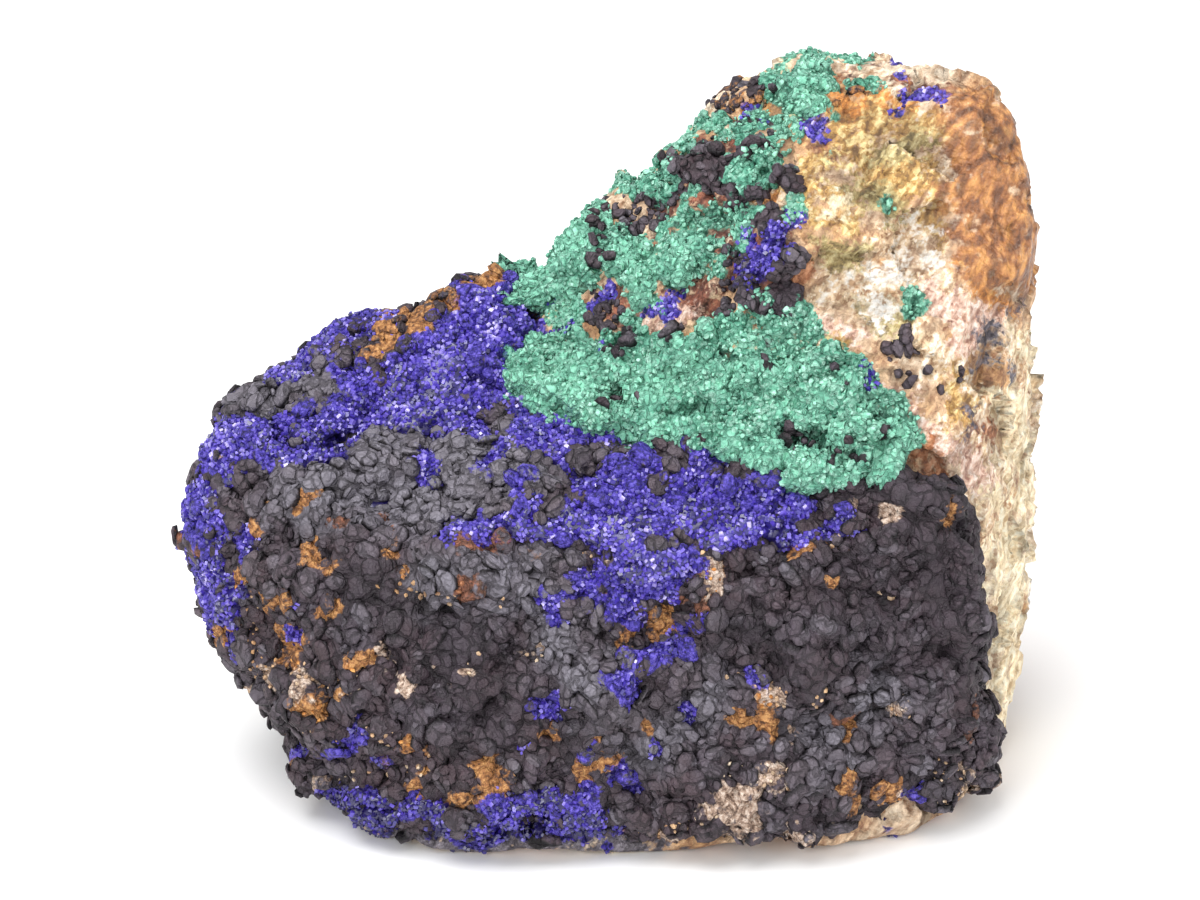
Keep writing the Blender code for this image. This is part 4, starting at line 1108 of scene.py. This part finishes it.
def dressHost():
    points, normals = coordinates(hostRock.data), coordinates(hostRock.data, "normal")
    skin = treeOf(welded("goethite_crust"))
    reach = hostPiece["covered"]
    covered = [skin.ray_cast(Vector(p), Vector(n), reach)[0] is not None for p, n in zip(points, normals)]
    covered = np.array(covered) & (painted(points, normals, rockWindows, 1.5) < 0.05)
    bottom = (points[:, 2] < 0.3 * mm) & (normals[:, 2] < -0.9)
    thinned(hostRock, covered | bottom)
    points, normals = coordinates(hostRock.data), coordinates(hostRock.data, "normal")
    _, _, toCamera = seen(points)
    away = smoothStep(-0.1, 0.3, -(normals * toCamera).sum(1))
    for number, (zone, strokes) in enumerate(hostStrokes.items()):
        front = painted(points, normals, strokes, 1.6, 0.9)
        patch = wander(points, hostPiece["patches"] + number, 20.0 + 7 * number)
        patch = smoothStep(0.3, 0.7, patch) * away * (zone != "black")
        setAttribute(hostRock.data, zone, np.maximum(front, patch))
    for zone in ("azurite", "malachite"):
        setAttribute(hostRock.data, zone, cover(points, normals, zone))
    smooth = painted(points, normals, hostStrokes["glassy"], 1.5)
    bold = smoothStep(0.2 * mm, 2.5 * mm, points[:, 2]) * (1 - hostPiece["glassyCalm"] * smooth)
    setAttribute(hostRock.data, "bold", bold)
    grown(hostRock, broken, hostPiece["relief"])
    finished(hostRock, "host_rock", "host_rock")


goethitePiece = {
    "rim": {"reach": 1.2, "depth": 1.9, "lower": 0.0, "ragged": 0.6},  # mm
    "tip": [(-36.6, -7.4, -36, -8, 0.9)], "tipSwell": 1.3,  # the left end, and how much fuller it is in mm
    "swells": ((0.8, 7.0, 2.0), (0.5, 3.5, 9.0)),  # height and size in mm, and shift
    "spotSize": 0.75,  # the share of their radius that the rusty and pale spots take
    "relief": {
        "Warp": 0.8 * mm, "Cluster size": 3.6 * mm, "Cluster height": 1.2 * mm, "Lump size": 1.7 * mm,
        "Lump height": 1.0 * mm, "Pimple size": 0.9 * mm, "Pimple height": 0.35 * mm,
        "Material": materials["goethite"],
    },
}


def dressGoethite():
    sunk, outside, points, normals = sunkRim(
        goethiteCrust, "goethite_crust", rockOnly, goethitePiece["rim"], windows=rockWindows
    )
    taken = np.zeros(len(points))
    for zone, strokes in goethiteStrokes.items():
        spots = [(*line[:4], goethitePiece["spotSize"] * line[4]) for line in strokes]
        shown = painted(points, normals, spots, 0.5, 1.2)
        setAttribute(goethiteCrust.data, zone, shown)
        taken = np.maximum(taken, shown)
    for zone in ("azurite", "malachite"):
        film = cover(points, normals, zone)
        setAttribute(goethiteCrust.data, zone, film)
        taken = np.maximum(taken, 0.85 * film)
    # where the painted grey sheen lies
    setAttribute(goethiteCrust.data, "paintedSheen", painted(points, normals, paintedSheenStrokes, 3.0, 1.5))
    bold = smoothStep(0.2 * mm, 2.0 * mm, points[:, 2])
    setAttribute(goethiteCrust.data, "bold", bold * np.where(outside, 1, 0.1))
    # lumps grow on the outside, off the rim, the spots and the ground, and seldom on the smoother, darker
    # stretches
    free = outside * (1 - smoothStep(0.4, 0.7, sunk)) * (1 - taken)
    free = free * smoothStep(0.8 * mm, 1.6 * mm, points[:, 2])
    smoothDark = painted(points, normals, smoothDarkStrokes, 2.5, 1.5)
    setAttribute(goethiteCrust.data, "smoothDark", smoothDark)
    bare = free * (1 - 0.85 * smoothDark) * smoothStep(-1.0, -0.3, wander(points, 3.0, 13.0))
    setAttribute(goethiteCrust.data, "bare", bare)
    swell = goethitePiece["tipSwell"] * painted(points, normals, goethitePiece["tip"], 0.9, 0.0)
    for height, size, shift in goethitePiece["swells"]:
        swell = swell + height * wander(points, size, shift)
    kept = coordinates(goethiteCrust.data)
    setCoordinates(goethiteCrust.data, kept + normals * (swell * bold * outside * (1 - sunk) * mm)[:, None])
    thinned(goethiteCrust, ~outside & (sunk < 0.05))
    grown(goethiteCrust, lumps, goethitePiece["relief"])
    pearls = newObject("goethitePearls", goethiteCrust.data.copy())
    grown(pearls, druse, dict(lumpGrowth, **{"Keep base": False}))
    finished(pearls, "goethite")
    finished(goethiteCrust, "goethite", "goethite_crust")


def dressCrust(mineral, piece):
    # a smaller crust on the rock and the goethite skin, for each of the piece's nodes
    for name, (node, lower) in piece["nodes"].items():
        crust = fineBase(name, node, piece["faceSize"])
        sunk, outside, points, normals = sunkRim(crust, node, both, dict(piece["rim"], lower=lower), mineral)
        for zone in piece["films"]:
            film = cover(points, normals, zone)
            setAttribute(crust.data, zone, film)
            sunk = np.maximum(sunk, film)
        setAttribute(crust.data, "bold", np.where(outside, 1.0, 0.1))
        bare = piece["fullness"] * outside * (1 - smoothStep(*piece["fadeOut"], sunk))
        setAttribute(crust.data, "bare", bare)
        grown(crust, lumps, piece["relief"])
        grown(crust, druse, piece["growth"])
        finished(crust, mineral, node)


# Each name has its node, and by how many mm the crust is lowered. faceSize and rim are in mm, films
# are colours of other minerals on it, and fullness is how densely it grows.
peakPiece = {
    "nodes": {"goethitePeak": ("goethite_peak", 0.7)},
    "faceSize": 0.34, "rim": {"reach": 1.0, "depth": 2.0, "ragged": 0.6}, "films": ("azurite", "malachite"),
    "fullness": 1.0, "fadeOut": (0.4, 0.7), "growth": dict(lumpGrowth, Shape=domeShape, Largest=1.6 * mm),
    "relief": {
        "Warp": 0.6 * mm, "Cluster size": 3.6 * mm, "Cluster height": 0.8 * mm, "Lump size": 1.5 * mm,
        "Lump height": 0.5 * mm, "Pimple size": 0.7 * mm, "Pimple height": 0.12 * mm,
        "Material": materials["goethite"],
    },
}
malachitePiece = {
    "nodes": {
        "malachiteLedge": ("malachite_ledge", 0.2), "malachiteSlope": ("malachite_slope", 0.7),
        "malachitePeak": ("malachite_peak", 0.9), "malachiteBack": ("malachite_back", 0.2),
    },
    "faceSize": 0.27, "rim": {"reach": 1.0, "depth": 1.9, "ragged": 0.8}, "films": (),
    "fullness": 0.75, "fadeOut": (0.5, 0.8), "growth": tuftGrowth,
    "relief": {
        "Warp": 1.2 * mm, "Cluster size": 2.4 * mm, "Cluster height": 0.9 * mm, "Lump size": 1.1 * mm,
        "Lump height": 0.9 * mm, "Pimple size": 0.6 * mm, "Pimple height": 0.35 * mm,
        "Material": materials["malachite"],
    },
}
azuritePiece = {
    "nodes": {
        "azuriteSlope": ("azurite_slope", 1.0), "azuriteLeft": ("azurite_left", 1.0),
        "azuriteCentre": ("azurite_centre", 1.0), "azuriteFoot": ("azurite_foot", 1.0),
        "azuriteBack": ("azurite_back", 1.0),
    },
    "faceSize": 0.36, "rim": {"reach": 1.2, "depth": 1.9, "ragged": 1.1}, "films": (),
    "fullness": 1.0, "fadeOut": (0.5, 0.8), "growth": crystalGrowth,
    "relief": {
        "Warp": 0.6 * mm, "Cluster size": 2.8 * mm, "Cluster height": 0.5 * mm, "Lump size": 1.3 * mm,
        "Lump height": 0.4 * mm, "Pimple size": 0.6 * mm, "Pimple height": 0.15 * mm,
        "Material": materials["azurite"],
    },
}


def scattered(name, slot, carriers, strokes, gaps, growth, over, ragged=0.8):
    # grows single shapes on what the strokes cross and no crust covers, as one piece
    shape = bmesh.new()
    for obj in carriers:
        shape.from_mesh(obj.data)
    mesh = bpy.data.meshes.new(name)
    shape.to_mesh(mesh)
    shape.free()
    obj = newObject(name, mesh)
    points, normals = coordinates(mesh), coordinates(mesh, "normal")
    room = painted(points, normals, strokes, 0.35, ragged)
    room = room * (1 - painted(points, normals, gaps, 0.35, 0.6 * ragged))
    lids = [treeOf(o.data) for o in over]
    for i in np.flatnonzero(room):
        start, way = Vector(points[i] + normals[i] * 0.05 * mm), Vector(normals[i])
        if any(lid.ray_cast(start, way, 3.0 * mm)[0] is not None for lid in lids):
            room[i] = 0
    setAttribute(mesh, "bare", room)
    grown(obj, druse, dict(growth, **{"Keep base": False}))
    finished(obj, slot)


dressGoethite()
dressCrust("goethite", peakPiece)
dressCrust("malachite", malachitePiece)
dressCrust("azurite", azuritePiece)
dressHost()
print("crusts and rock finished")

peak = bpy.data.objects["goethitePeak"]
green = [o for o in bpy.data.objects if o.name in malachitePiece["nodes"]]
crusts = [o for o in bpy.data.objects if o.name in malachitePiece["nodes"] or o.name in azuritePiece["nodes"]]
ground = [hostRock, goethiteCrust, peak]
small = dict(lumpGrowth, Shape=domeShape, Spacing=0.7 * mm, Smallest=0.7 * mm, Largest=1.5 * mm)
grit = dict(tuftGrowth, Spacing=0.6 * mm, Smallest=0.25 * mm, Largest=0.6 * mm)
grit["Material"] = materials["host_rock"]
scattered("goethiteLumps", "goethite", [hostRock], lumpStrokes, [], small, [peak] + crusts, 0.3)
scattered("goethiteSpots", "goethite", green, lumpStrokes, [], small, [], 0.3)
scattered("quartzGrit", "host_rock", [goethiteCrust], gritStrokes, [], grit, crusts)
scattered("malachiteTufts", "malachite", ground, *layout["malachite"], tuftGrowth, crusts, 0.6)
scattered("azuriteGrains", "azurite", ground, *layout["azurite"], crystalGrowth, crusts)
for shape in (crystal, lumpShape, domeShape, tuftShape):
    bpy.data.objects.remove(shape)
print("pieces finished")


studio = {
    "card": "#f7f7f7", "half": 1.5, "below": 0.02 * mm,  # the floor, half its width and its depth in metres
    "sky": 0.75,  # strength of the even white light all round
    # place and size in metres, and power in watts
    "lights": {
        "above": ((-0.15, -0.1, 0.6), 0.5, 3.6), "front": ((-0.3, -0.6, 0.35), 0.4, 2.0),
        "right": ((0.55, -0.3, 0.25), 0.4, 1.3),
    },
    "towards": (0, 0, 0.03),
}


def layFloor():
    # matt white card, so that only soft shadows show
    half = studio["half"]
    mesh = bpy.data.meshes.new("floor")
    corners = [(-half, -half, 0), (half, -half, 0), (half, half, 0), (-half, half, 0)]
    mesh.from_pydata(corners, [], [(0, 1, 2, 3)])
    made, *_ = newMaterial("matt white card", {"Base Color": hexColour(studio["card"]), "Roughness": 0.9})
    mesh.materials.append(made)
    floor = newObject("floor", mesh)
    floor.location.z = -studio["below"]


def softLight(name, place, size, power):
    light = bpy.data.lights.new(name, "AREA")
    light.shape = "DISK"
    light.size = size
    light.energy = power
    obj = newObject(name, light)
    obj.location = place
    obj.rotation_euler = (Vector(studio["towards"]) - Vector(place)).to_track_quat("-Z", "Y").to_euler()


def lightAndCamera():
    world = bpy.data.worlds.new("studio")
    world.use_nodes = True
    sky = world.node_tree.nodes["Background"].inputs
    sky["Color"].default_value = (1, 1, 1, 1)
    sky["Strength"].default_value = studio["sky"]
    bpy.context.scene.world = world
    for name, settings in studio["lights"].items():
        softLight(name, *settings)
    bpy.context.scene.view_settings.view_transform = "Standard"
    lens = bpy.data.cameras.new("camera")
    lens.angle = 2 * math.atan(sight["width"] / 2 / sight["distance"])
    lens.clip_start = 0.01
    camera = newObject("camera", lens)
    tilt = math.radians(sight["elevation"])
    back = Vector((0, -math.cos(tilt), math.sin(tilt)))
    camera.location = (Vector(sight["target"]) + back * sight["distance"]) * mm
    camera.rotation_euler = (-back).to_track_quat("-Z", "Y").to_euler()
    bpy.context.scene.camera = camera


layFloor()
lightAndCamera()
print("floor, light and camera ready")
